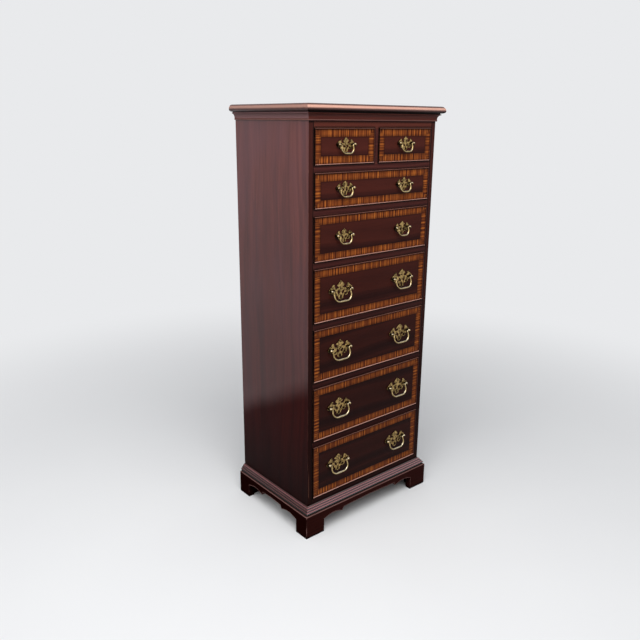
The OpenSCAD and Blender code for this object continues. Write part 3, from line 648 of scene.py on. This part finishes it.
top_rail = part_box("drawer_rails")[1].z - RAIL_H
bracket_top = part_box("front_bracket")[1].z
rail_look = {"lit_from": top_rail, "floor_shade": 0.5, "ring": 0.006, "tones": RAIL}
rail_finish = mahogany("mahogany_rails", "X", worn=0.2, **rail_look)
# The side, rear and block boards take the darker tones, as painted shade.
shaded_side_look = {"bracket_top": bracket_top, "specular": 0.0, "ring": 0.007, "tones": SHADED_BRACKET}
shaded_bracket_finish = mahogany("mahogany_brackets_in_shade", "Y", worn=1.0, **shaded_side_look)
front_look = {"bracket_top": bracket_top, "specular": 0.012, "ring": 0.007, "tones": BRACKET}
front_bracket_finish = mahogany("mahogany_front_bracket", "X", worn=1.0, **front_look)
finish(["drawer_rails", "top_drawer_divider"], rail_finish)
finish(["front_bracket"], front_bracket_finish)
finish(["side_brackets", "rear_brackets", "base_blocks"], shaded_bracket_finish)
print("rails and brackets dressed")

# %% [markdown]
# ## The side panels and their stiles
#
# Each side is one board. Its broad face was polished more than anything else on the chest,
# so it mirrors the pale surroundings down to where the polish is gone, and its colour is
# painted darker towards the floor as painted shade, more so below the polish line and near
# the foot. Its front edge shows as the stile beside the drawers, which is darker and duller.
# Both belong to one CAD node, so the finish asks how far behind the front plane a point
# lies. The stile's inner edge, beside the drawers, is painted nearly black as painted shade.
# At one low corner, knocks have scraped a pale line down the stile.

# %% Side finish
case_low, case_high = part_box("left_side_panel")
CASE_SIDE, CASE_FRONT = abs(case_low.x), case_low.y
PANEL = (rgb(84, 37, 34), rgb(103, 49, 45), rgb(124, 63, 55))
PANEL_STREAK, PANEL_MAUVE = rgb(70, 29, 31), rgb(100, 58, 66)
# Painted shade: factors that darken the side towards the floor, below the polish line and near the foot.
PANEL_LOW_SHADE, PANEL_DULL_SHADE = (0.50, 0.25, 0.25, 1.0), (0.50, 0.45, 0.44, 1.0)
PANEL_FOOT_SHADE, FOOT_SHADE_FROM, FOOT_SHADE_TO = (0.37, 0.20, 0.20, 1.0), 0.40, 0.10
PANEL_COAT, STILE_COAT = 0.80, 0.05
STREAKS, BLOOMS = (1.0, 22.0, 2.0), (1.0, 9.0, 2.6)
SCRAPE_IN, SCRAPE_LOW, SCRAPE_HIGH = 4.5 * MM, 133 * MM, 250 * MM
# Painted shade: the stile's inner edge beside the drawers.
INNER_SHADE_FROM, INNER_SHADE_TO = 14.2 * MM, 16.6 * MM


def panel_colour(tree, place):
    """Colour of a broad side with painted shade low down, its fibres, its pores and the shine left."""
    sawn, pith = turned(tree, place, "Z", "Y"), (0.0, 0.03, -0.20)
    panel, fibre, pores = mahogany_colour(tree, sawn, pith, ring=0.026, wander=0.16, tones=PANEL)
    streak = fade(tree, cloud(tree, stretch(tree, place, STREAKS), 1.0, 4.0, 0.65), 0.42, 0.68)
    panel = mix(tree, times(tree, streak, 0.6), panel, PANEL_STREAK)
    bloom = fade(tree, cloud(tree, stretch(tree, place, BLOOMS), 1.0, 3.0), 0.42, 0.66)
    panel = mix(tree, times(tree, bloom, 0.4), panel, PANEL_MAUVE)
    # Painted shade: darker towards the floor, and darker still below the polish line.
    panel, polished, shine = shaded_with_height(tree, place, panel, shade=PANEL_LOW_SHADE)
    panel = mix(tree, inverse(tree, polished), panel, PANEL_DULL_SHADE, "MULTIPLY")
    # Painted shade near the foot.
    foot_shade = fade(tree, split(tree, place)[2], FOOT_SHADE_FROM, FOOT_SHADE_TO)
    return mix(tree, foot_shade, panel, PANEL_FOOT_SHADE, "MULTIPLY"), fibre, pores, shine


def scrape(tree, x, z):
    """Mask of a thin line up the left stile, which dies out towards its upper end."""
    beside = calc(tree, "ABSOLUTE", calc(tree, "ADD", x, CASE_SIDE - SCRAPE_IN))
    start = fade(tree, z, SCRAPE_LOW, SCRAPE_LOW + 10 * MM)
    stop = fade(tree, z, SCRAPE_HIGH, SCRAPE_HIGH - 60 * MM)
    return times(tree, fade(tree, beside, 1.3 * MM, 0.3 * MM), times(tree, start, stop))


def side_board(name, scraped):
    """Finish of a side: the stile on its front edge, the polished panel on the rest."""
    material, tree, place = blank(name)
    x, y, z = split(tree, place)
    panel, fibre, pores, shine = panel_colour(tree, place)
    stile = mahogany_colour(tree, turned(tree, place, "Z", "X"), (0.0, -2.0, 0.1), ring=0.005)[0]
    # Painted shade: the stile darker towards the floor.
    stile = shaded_with_height(tree, place, stile)[0]
    on_stile = fade(tree, calc(tree, "SUBTRACT", y, CASE_FRONT), 0.6 * MM, 0.3 * MM)
    colour = mix(tree, on_stile, panel, stile)
    rubbed = use(tree, wear, {"Vector": place, "Amount": 0.35})["Worn"]
    if scraped:
        line = times(tree, scrape(tree, x, z), on_stile)
        rubbed = most(tree, rubbed, times(tree, line, 0.42))
    colour = mix(tree, rubbed, colour, RUBBED)
    # Painted shade: the stile's inner edge beside the drawers and its seams, painted near black.
    inner_shade = fade(tree, calc(tree, "ABSOLUTE", x), CASE_SIDE - INNER_SHADE_FROM, CASE_SIDE - INNER_SHADE_TO)
    stile_shade = most(tree, times(tree, shade_and_patina_mask(tree, *SEAM_SHADE), on_stile), inner_shade)
    colour = mix(tree, times(tree, stile_shade, 0.9), colour, SHADE_DARK)
    coat = times(tree, shine, mix_value(tree, on_stile, PANEL_COAT, STILE_COAT))
    lacquered(material, colour, satin(tree, fibre), pores, coat, coat_roughness=0.16)
    return material


finish(["left_side_panel"], side_board("mahogany_left_side", scraped=True))
finish(["right_side_panel"], side_board("mahogany_right_side", scraped=False))
print("sides dressed")

# %% [markdown]
# ## Mouldings that turn a corner
#
# A mitred moulding is three sticks, and the grain runs along each of them. One direction
# for the whole frame would run across the side lengths. The mitre is the plane where a
# point is as far outside the case's side as it is outside its front, so comparing the two
# picks the direction, and the joint shows as a fine change of grain at the corner. The top
# is one wide board, so its grain simply runs along it.
#
# Each of these has a zone of heights painted pale: besides the real wear on its arrises,
# this is a painted highlight where the rounded face catches the light. Another zone is
# painted near black as painted shade under an overhang or in a groove, and so are the
# hollows between the reeds. On the side lengths, which get less light, the painted
# highlight is weaker and may lie elsewhere, and the cornice's side lengths are painted
# lighter as painted light. Wax gathers on the edge of the top and on the reeds, so their
# coat is denser than that of a flat board and bends light more, which makes them stand out
# as pale lines.

# %% Moulding finish
MOULDING = (rgb(58, 26, 22), rgb(72, 34, 29), rgb(88, 44, 37))
ARRIS_REACH = 1.2 * MM
# Painted shade in the hollows between the reeds and in the dark zone of heights.
HOLLOW_SHADE = (3 * MM, 0.98, 0.72)
SHADE_ZONE_COAT, SHADE_STRENGTH = 0.05, 0.92


def mitred_grain(tree, place):
    """Coordinates whose X follows the front length, or the side length past the mitre."""
    x, y, _ = split(tree, place)
    outside = calc(tree, "SUBTRACT", calc(tree, "ABSOLUTE", x), CASE_SIDE)
    ahead = calc(tree, "SUBTRACT", CASE_FRONT, y)
    on_side = calc(tree, "GREATER_THAN", outside, ahead)
    lengths = {0: on_side, 4: turned(tree, place, "X", "Z"), 5: turned(tree, place, "Y", "Z")}
    return put(tree, "Mix", lengths, data_type="VECTOR").outputs[1]


def moulding(name, highlight, lit_zone, shade_zone, side_lit_zone=None, side_lit_share=1.0, side_light=None,
             tones=MOULDING, worn=0.5, coat=0.8, side_coat=1.0, coat_ior=1.5, soft=1 * MM,
             shade_soft=1 * MM, reed_shade=0.0, one_board=False):
    """Mahogany with a painted highlight in one zone of heights and painted shade in another.

    The side arguments say what differs on the side lengths, and the reeds' argument how much
    painted shade lies between the reeds.
    """
    material, tree, place = blank(name)
    if one_board:
        sawn, pith, ring = turned(tree, place, "X", "Y"), (0.0, 0.04, 1.15), 0.012
    else:
        sawn, pith, ring = mitred_grain(tree, place), (0.0, -1.5, 0.3), 0.004
    colour, fibre, pores = mahogany_colour(tree, sawn, pith, ring=ring, tones=tones)
    rubbed = use(tree, wear, {"Vector": place, "Amount": worn, "Reach": ARRIS_REACH})["Worn"]
    height, normal = split(tree, place)[2], own_normal(tree)
    up, sideways = normal[2], fade(tree, calc(tree, "ABSOLUTE", normal[0]), 0.25, 0.5)
    # Painted light: the side lengths above the pale zone are painted lighter.
    if side_light is not None:
        above = fade(tree, height, lit_zone[1] + 1 * MM, lit_zone[1] + 3 * MM)
        colour = mix(tree, times(tree, sideways, above), colour, side_light)
    # Painted highlight: a zone of heights painted pale where the rounded face catches the light, joined to
    # the wear of the arrises.
    front = between(tree, height, *lit_zone, soft)
    side = times(tree, between(tree, height, *(side_lit_zone or lit_zone), soft), side_lit_share)
    highlit = times(tree, mix_value(tree, sideways, front, side), fade(tree, up, 0.995, 0.93))
    highlit = times(tree, highlit, calc(tree, "ADD", times(tree, fibre, 0.4), 0.7))
    colour = mix(tree, most(tree, rubbed, highlit), colour, highlight)
    # Painted shade between the reeds, on faces that turn down and in hollows.
    if reed_shade:
        reed_dark = most(tree, fade(tree, up, 0.74, 0.42), shade_and_patina_mask(tree, *HOLLOW_SHADE))
        colour = mix(tree, times(tree, reed_dark, reed_shade), colour, SHADE_DARK)
    # Painted shade: a zone of heights painted near black, under an overhang or in the groove.
    under_shade = between(tree, height, *shade_zone, shade_soft)
    under_shade = times(tree, under_shade, inverse(tree, times(tree, sideways, 0.8)))
    colour = mix(tree, times(tree, under_shade, SHADE_STRENGTH), colour, SHADE_DARK)
    coat = mix_value(tree, sideways, coat, coat * side_coat)
    coat = mix_value(tree, under_shade, coat, SHADE_ZONE_COAT)
    surface = {"coat": coat, "coat_roughness": 0.18, "coat_ior": coat_ior}
    lacquered(material, colour, satin(tree, fibre), pores, **surface)
    return material


print("moulding finish ready")

# %% [markdown]
# ## The top, the cornice and the base moulding
#
# The rounded edge of the top carries the palest line of the chest, a painted highlight,
# and its underside is painted dark as painted shade. A bead with a painted highlight runs
# under the cornice's cove, whose side lengths are painted lighter, and three reeds with
# painted highlights lie over the base moulding's groove, painted black as painted shade.
# The zones could be typed in as heights, but they are measured from each piece's own box,
# so they follow it if a size changes.

# %% Top, cornice and base moulding
# Painted highlights for the top's nose, the reeds and the cornice bead, and painted light for the
# cornice's side lengths.
NOSE_LIT, REED_LIT = rgb(226, 172, 152), rgb(162, 102, 106)
CORNICE_BEAD_LIT, SIDE_COVE_LIT = rgb(134, 92, 84), rgb(134, 96, 96)
CORNICE = (rgb(80, 33, 26), rgb(94, 41, 32), rgb(110, 51, 40))
top_low, top_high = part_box("top_board")
base_low, base_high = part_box("base_moulding")
cornice_low, cornice_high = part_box("cornice_moulding")
groove_top = base_low.z + 5.5 * MM
top_finish = moulding(
    "mahogany_top",
    highlight=NOSE_LIT,
    lit_zone=(top_high.z - 9.5 * MM, top_high.z - 7.5 * MM),
    side_lit_zone=(top_low.z + 12 * MM, top_high.z - 7 * MM),
    side_lit_share=0.42,
    shade_zone=(0.0, top_low.z + 3 * MM),
    soft=5 * MM,
    shade_soft=4 * MM,
    coat=0.6,
    coat_ior=1.6,
    one_board=True,
)
cornice_finish = moulding(
    "mahogany_cornice",
    highlight=CORNICE_BEAD_LIT,
    lit_zone=(cornice_low.z + 1 * MM, cornice_low.z + 3 * MM),
    shade_zone=(cornice_high.z - 3 * MM, 2.0),
    side_light=SIDE_COVE_LIT,
    tones=CORNICE,
    coat=0.2,
)
base_finish = moulding(
    "mahogany_base_moulding",
    highlight=REED_LIT,
    lit_zone=(groove_top, base_high.z - 3.5 * MM),
    shade_zone=(0.0, groove_top - 1 * MM),
    side_lit_zone=(base_high.z - 8.5 * MM, base_high.z - 3 * MM),
    side_lit_share=0.45,
    worn=0.2,
    coat=0.9,
    side_coat=0.35,
    coat_ior=1.9,
    reed_shade=1.0,
)
finish(["top_board"], top_finish)
finish(["cornice_moulding"], cornice_finish)
finish(["base_moulding"], base_finish)
print("mouldings dressed")

# %% [markdown]
# ## The veneered fronts
#
# Each front is a board with a dark mahogany field and the striped banding laid round it.
# They could be cut as thin pieces, but veneer has next to no thickness, so they are told
# apart in the material. The stripes come from the same grain group as the field: sixty
# metres from the pith, the rings are as good as straight. Each front takes another leaf of
# veneer, so its coordinates are moved on by its number. On the tall fronts the band is a
# little wider and its stripe finer and calmer.

# %% Field and band
FIELD = (rgb(52, 21, 18), rgb(66, 29, 24), rgb(84, 38, 30))
STRIPE_DARK, STRIPE_MID, STRIPE_PALE = rgb(72, 30, 17), rgb(124, 61, 29), rgb(194, 110, 46)
# The scorch of the sand-shaded banding and its dark joints, also used for painted shade on the beads'
# undersides and beside the beads.
SCORCH_AND_SHADE, CORNER = rgb(26, 11, 10), rgb(86, 44, 24)
STRAIGHT_PITH = (0.0, -60.0, 0.0)
LEAF_ALONG, LEAF_ACROSS, STRIP_ALONG = 0.9, 0.37, 1.9
TALL_FRONT = 150 * MM
BAND, TALL_BAND = (22 * MM, 6.8 * MM, 0.64), (23.5 * MM, 5.8 * MM, 0.66)


def veneer(tree, flat, number, half_w, half_h):
    """Colour of field and band, the banding's masks, and the fibres and pores of both."""
    band_w, ring, palest = TALL_BAND if 2 * half_h > TALL_FRONT else BAND
    sizes = {"Vector": flat, "Half Width": half_w, "Half Height": half_h, "Band": band_w}
    laid = use(tree, banding, sizes)
    leaf = shift(tree, flat, (LEAF_ALONG * number, LEAF_ACROSS * number, 0.0))
    pith = (0.0, LEAF_ACROSS * number + 0.02, -0.12)
    field, fibre, pores = mahogany_colour(tree, leaf, pith, ring=0.009, wander=0.09, tones=FIELD)
    strip = shift(tree, laid["Strip Vector"], (0.0, STRIP_ALONG * number, 0.0))
    sawn = {"Vector": strip, "Pith": STRAIGHT_PITH, "Ring": ring, "Wander": 0.003}
    stripes, strip_fibre, strip_pores = use(tree, grain, sawn)
    tone = calc(tree, "ADD", times(tree, stripes, 0.8), times(tree, strip_fibre, 0.2))
    patches = calc(tree, "SUBTRACT", cloud(tree, strip, 26.0, 2.0), 0.5)
    tone = calc(tree, "ADD", tone, times(tree, patches, 0.22))
    band = ramp(tree, tone, (1 - palest, STRIPE_DARK), (0.5, STRIPE_MID), (palest, STRIPE_PALE))
    colour = mix(tree, laid["Band"], field, band)
    colour = mix(tree, times(tree, laid["Scorch"], 0.45), colour, SCORCH_AND_SHADE)
    colour = mix(tree, times(tree, laid["Joint"], 0.5), colour, SCORCH_AND_SHADE)
    colour = mix(tree, times(tree, laid["Corner"], 0.35), colour, CORNER)
    return colour, laid, fibre, most(tree, pores, strip_pores)


print("field and band ready")

# %% [markdown]
# ## The cock beads
#
# A cock bead is a thin half-round strip let into each edge of a drawer front, standing 3 mm
# proud, which keeps the edge of the veneer from being torn off. Its upper side is painted
# pale as a painted highlight, brightest along the lower edge of a front. Its underside is
# painted dark as painted shade, and so is whatever faces the gap round the drawer, where
# little light gets in. All the beads of a front belong to its CAD node, so the finish knows
# them by place, and their painted light and dark sides by the way they face.

# %% Bead colour
BEAD_W = BEAD_OUT = 3 * MM
BEAD = (rgb(70, 36, 31), rgb(86, 46, 40), rgb(104, 60, 52))
# Painted highlight colours for the beads' upper side, and a near black for painted shade in the gap.
BEAD_LIT, BEAD_LIT_LOW, GAP_SHADE = rgb(146, 96, 80), rgb(198, 150, 134), rgb(9, 4, 4)


def bead_colour(tree, local, flat, half_w, half_h):
    """Colour of the beads with painted highlights and painted shade, and the mask of their flanks beside
    the drawer, which take painted shade.
    """
    x, _, z = split(tree, local)
    bead_grain = shift(tree, flat, (0.0, 3.0, 0.0))
    bead = mahogany_colour(tree, bead_grain, (0.0, -2.0, 0.0), ring=0.003, tones=BEAD)[0]
    up = own_normal(tree)[2]
    lower = fade(tree, z, -half_h + 4 * MM, -half_h - 1 * MM)
    lit = mix(tree, lower, BEAD_LIT, BEAD_LIT_LOW)
    # Painted highlight on the upper side, brightest on the lower bead.
    bead = mix(tree, fade(tree, up, 0.15, 0.65), bead, lit)
    # Painted shade on the underside.
    bead = mix(tree, fade(tree, up, 0.1, -0.3), bead, SCORCH_AND_SHADE)
    over = fade(tree, z, half_h + 1 * MM, half_h + 2 * MM)
    # Painted shade on the face behind the top bead, in the gap.
    bead = mix(tree, times(tree, fade(tree, up, 0.90, 0.98), over), bead, GAP_SHADE)
    # Painted shade on the flanks that face the gap beside the drawer.
    beside = calc(tree, "SUBTRACT", calc(tree, "ABSOLUTE", x), half_w)
    flank_shade = fade(tree, beside, BEAD_W * 0.15, BEAD_W * 0.55)
    return mix(tree, flank_shade, bead, GAP_SHADE), flank_shade


print("bead colour ready")

# %% [markdown]
# ## One material for a whole front
#
# Field, band, beads and the board that they are glued to are faces of one CAD node, so the
# material tells them apart by place: outside the board's rectangle or proud of its face is
# bead, and deeper than a veneer's thickness is plain board. Each front gets a material of
# its own, fitted to its box. Where the face meets the beads, and in its corners, a dark line
# of painted shade runs round the band. The field takes painted shade towards the floor as
# the case does, and the banding keeps its colour.

# %% Front finish
VENEER_T = 0.7 * MM
CORE = (rgb(96, 52, 38), rgb(122, 70, 50))
FACE_COAT, BEAD_COAT = 0.03, 0.14
# Painted shade within a few millimetres of the beads and in the corners.
EDGE_SHADE_IN, CORNER_SHADE = 7 * MM, (12 * MM, 0.92, 0.35)


def front_finish(name, number):
    """The finish of one drawer front, fitted to that front's own box."""
    low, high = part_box(f"{name}_drawer_front")
    centre, face_y = (low + high) / 2, low.y + BEAD_OUT
    half_w, half_h = (high.x - low.x) / 2 - BEAD_W, (high.z - low.z) / 2 - BEAD_W
    material, tree, place = blank(f"veneer_{name}")
    local = shift(tree, place, (-centre.x, -face_y, -centre.z))
    flat, depth = turned(tree, local, "X", "Z"), split(tree, local)[1]
    colour, laid, fibre, pores = veneer(tree, flat, number, half_w, half_h)
    # Painted shade towards the floor on the field; the band keeps its colour.
    colour = shaded_with_height(tree, place, colour, mix_value(tree, laid["Band"], 0.84, 0.0))[0]
    # Painted shade beside the beads and in the corners.
    edge_shade = times(tree, fade(tree, laid["Edge"], EDGE_SHADE_IN, 0.0), 0.62)
    colour = mix(tree, most(tree, edge_shade, shade_and_patina_mask(tree, *CORNER_SHADE)), colour, SCORCH_AND_SHADE)
    bead, flank_shade = bead_colour(tree, local, flat, half_w, half_h)
    proud = fade(tree, depth, -HAIR, -3 * HAIR)
    off_face = most(tree, fade(tree, laid["Edge"], HAIR, -HAIR), proud)
    colour = mix(tree, off_face, colour, bead)
    inside = fade(tree, depth, VENEER_T, VENEER_T + HAIR)
    colour = mix(tree, inside, colour, mix(tree, fibre, *CORE))
    coat = mix_value(tree, proud, FACE_COAT, times(tree, inverse(tree, flank_shade), BEAD_COAT))
    lacquered(material, colour, satin(tree, fibre), pores, coat, coat_ior=1.8)
    return material


DRAWERS = [b.removesuffix("_drawer") for b in frame["bodies"] if b.endswith("_drawer")]
for number, name in enumerate(DRAWERS):
    finish([f"{name}_drawer_front"], front_finish(name, number))
print("fronts dressed:", DRAWERS)

# %% [markdown]
# ## What shows when a drawer is open
#
# Inside, a chest is another colour: oak drawer sides with the grain running front to
# back, thin pale bottoms, and plain pine runners that were never stained. The back is a
# thin board, stained only roughly, because it stands against a wall. They are dry wood
# with no lacquer, so they get a dull surface with no coat.

# %% Plain timbers
OAK = (rgb(150, 112, 70), rgb(186, 148, 100), rgb(208, 174, 126))
PINE = (rgb(166, 124, 76), rgb(204, 166, 112), rgb(222, 190, 140))
PLY = (rgb(176, 142, 100), rgb(206, 176, 134), rgb(222, 198, 160))
BOARD = (rgb(88, 60, 42), rgb(104, 74, 52), rgb(118, 86, 62))
DRY = 0.55


def plain_timber(name, along, across, pith, tones, ring=0.005, pore_share=0.4):
    """Bare sanded wood: three tones along the figure, and no coat."""
    material, tree, place = blank(name)
    sawn = turned(tree, place, along, across)
    values = {"Vector": sawn, "Pith": pith, "Ring": ring, "Wander": 0.04}
    figure, fibre, pores = use(tree, grain, values)
    tone = calc(tree, "ADD", times(tree, figure, 0.75), times(tree, fibre, 0.25))
    colour = ramp(tree, tone, (0.3, tones[0]), (0.5, tones[1]), (0.7, tones[2]))
    colour = mix(tree, times(tree, pores, pore_share), colour, tones[0])
    roughness = calc(tree, "ADD", times(tree, fibre, 0.15), DRY)
    lacquered(material, colour, roughness, pores, coat=0.0)
    return material


oak_finish = plain_timber("oak_sides", "Y", "Z", FAR_PITH, OAK)
pine_finish = plain_timber("pine_runners", "Y", "X", FAR_PITH, PINE, ring=0.007, pore_share=0.1)
flat_sawn, back_sawn = (0.0, 0.0, -0.2), (0.0, 0.06, -0.2)
ply_finish = plain_timber("drawer_bottoms", "X", "Y", flat_sawn, PLY, ring=0.012, pore_share=0.2)
back_finish = plain_timber("back_board", "Z", "X", back_sawn, BOARD, ring=0.014, pore_share=0.3)
finish([f"{name}_drawer_box" for name in DRAWERS], oak_finish)
finish([f"{name}_drawer_bottom" for name in DRAWERS] + ["case_floor"], ply_finish)
finish(["drawer_runners"], pine_finish)
finish(["back_panel"], back_finish)
print("inside timbers dressed")

# %% [markdown]
# ## Antique brass
#
# The pulls are cast brass, toned dark and then rubbed back, so the high places are bright
# and the recesses stay brown. Metal has no colour of its own beneath the reflection, so
# the tone goes into Base Color with Metallic at 1. Ambient occlusion finds the recesses
# at any size, and clouds of noise keep the tone from being even. What faces up carries a
# painted highlight, and what faces down painted shade. On a plate, the highlight would
# light the walls of its piercings too, so there the walls take painted shade instead and
# only the posts, which stand out from it, keep their glint.

# %% Brass
# Dark brown for the patina in recesses, also used for painted shade on undersides and piercing walls.
PATINA_AND_SHADE = rgb(34, 24, 14)
PLATE = (rgb(66, 51, 30), rgb(186, 156, 100), rgb(246, 234, 204))
BAIL = (rgb(142, 118, 74), rgb(200, 176, 124), rgb(250, 242, 216))
BLOTCH_SCALE, SPECK_SCALE = 170.0, 900.0
RECESS = (4 * MM, 0.97, 0.6)
POSTS_FROM = CASE_FRONT - 4.5 * MM


def brass(name, tones, contrast, roughness, plate=False):
    """Rubbed-back brass with a painted glint above and painted shade below; on a plate, the walls of the
    piercings take painted shade and only posts glint.
    """
    material, tree, place = blank(name)
    toned, bright, glint = tones
    blotch = cloud(tree, place, BLOTCH_SCALE, 3.0, 0.6)
    speck = cloud(tree, place, SPECK_SCALE, 3.0, 0.6)
    shine = calc(tree, "ADD", times(tree, blotch, 0.7), times(tree, speck, 0.3))
    colour = mix(tree, fade(tree, shine, 0.5 - contrast, 0.5 + contrast), toned, bright)
    _, out, up = own_normal(tree)
    # Painted highlight where the surface faces up.
    lit = fade(tree, up, 0.35, 0.85)
    if plate:
        # Painted shade on the walls of the piercings.
        wall_shade = fade(tree, calc(tree, "ABSOLUTE", out), 0.6, 0.25)
        colour = mix(tree, times(tree, wall_shade, 0.9), colour, PATINA_AND_SHADE)
        posts = fade(tree, split(tree, place)[1], POSTS_FROM, POSTS_FROM - 1 * MM)
        lit = times(tree, lit, posts)
    colour = mix(tree, lit, colour, glint)
    # Painted shade where the surface faces down.
    colour = mix(tree, fade(tree, up, 0.0, -0.5), colour, PATINA_AND_SHADE)
    # Patina in the recesses, found by ambient occlusion.
    colour = mix(tree, shade_and_patina_mask(tree, *RECESS), colour, PATINA_AND_SHADE)
    matt = calc(tree, "ADD", times(tree, speck, 0.2), roughness)
    relief = put(tree, "Bump", {"Strength": 0.4, "Distance": 0.4 * MM, "Height": blotch}).outputs[0]
    values = {"Base Color": colour, "Metallic": 1.0, "Roughness": matt, "Normal": relief}
    surface = put(tree, "BsdfPrincipled", values)
    tree.links.new(surface.outputs[0], put(tree, "OutputMaterial").inputs[0])
    return material


plate_brass = brass("brass_plates", PLATE, contrast=0.08, roughness=0.3, plate=True)
bail_brass = brass("brass_bails", BAIL, contrast=0.14, roughness=0.25)
BAILS = [b for b in frame["bodies"] if b.endswith("_bail")]
finish([f"{name}_pull_plates" for name in DRAWERS], plate_brass)
finish(BAILS, bail_brass)
print(len(BAILS), "bails and", len(DRAWERS), "sets of plates dressed")

# %% [markdown]
# ## The sweep's own paint
#
# A pale matt paint catches the soft shadow under the chest and otherwise stays out of the
# way. What the camera and the polish see of it is pale, and out towards the wall it gives
# up its shading for a plain near-white. What it throws back on to the chest is no more
# than a grey floor would, or the undersides of the mouldings would have no shadow.

# %% Sweep paint
PALE, THROWN_BACK = rgb(233, 234, 236), rgb(120, 120, 122)
SHADED_R, PLAIN_R = 0.6, 2.8
paint, tree, place = blank("sweep_paint")
ray = put(tree, "LightPath").outputs
mirrored = most(tree, ray["Is Glossy Ray"], ray["Is Transmission Ray"])
seen = most(tree, ray["Is Camera Ray"], mirrored)
tint = mix(tree, cloud(tree, place, 1.2, 3.0), rgb(229, 229, 230), rgb(236, 236, 236))
matt = put(tree, "BsdfDiffuse", {"Color": mix(tree, seen, THROWN_BACK, tint)}).outputs[0]
plain = put(tree, "Emission", {"Color": PALE}).outputs[0]
far = put(tree, "VectorMath", {0: place}, operation="LENGTH").outputs["Value"]
unshaded = times(tree, fade(tree, far, SHADED_R, PLAIN_R), seen)
surface = put(tree, "MixShader", {0: unshaded, 1: matt, 2: plain}).outputs[0]
tree.links.new(surface, put(tree, "OutputMaterial").inputs[0])
sweep.data.materials.append(paint)
print("sweep painted")
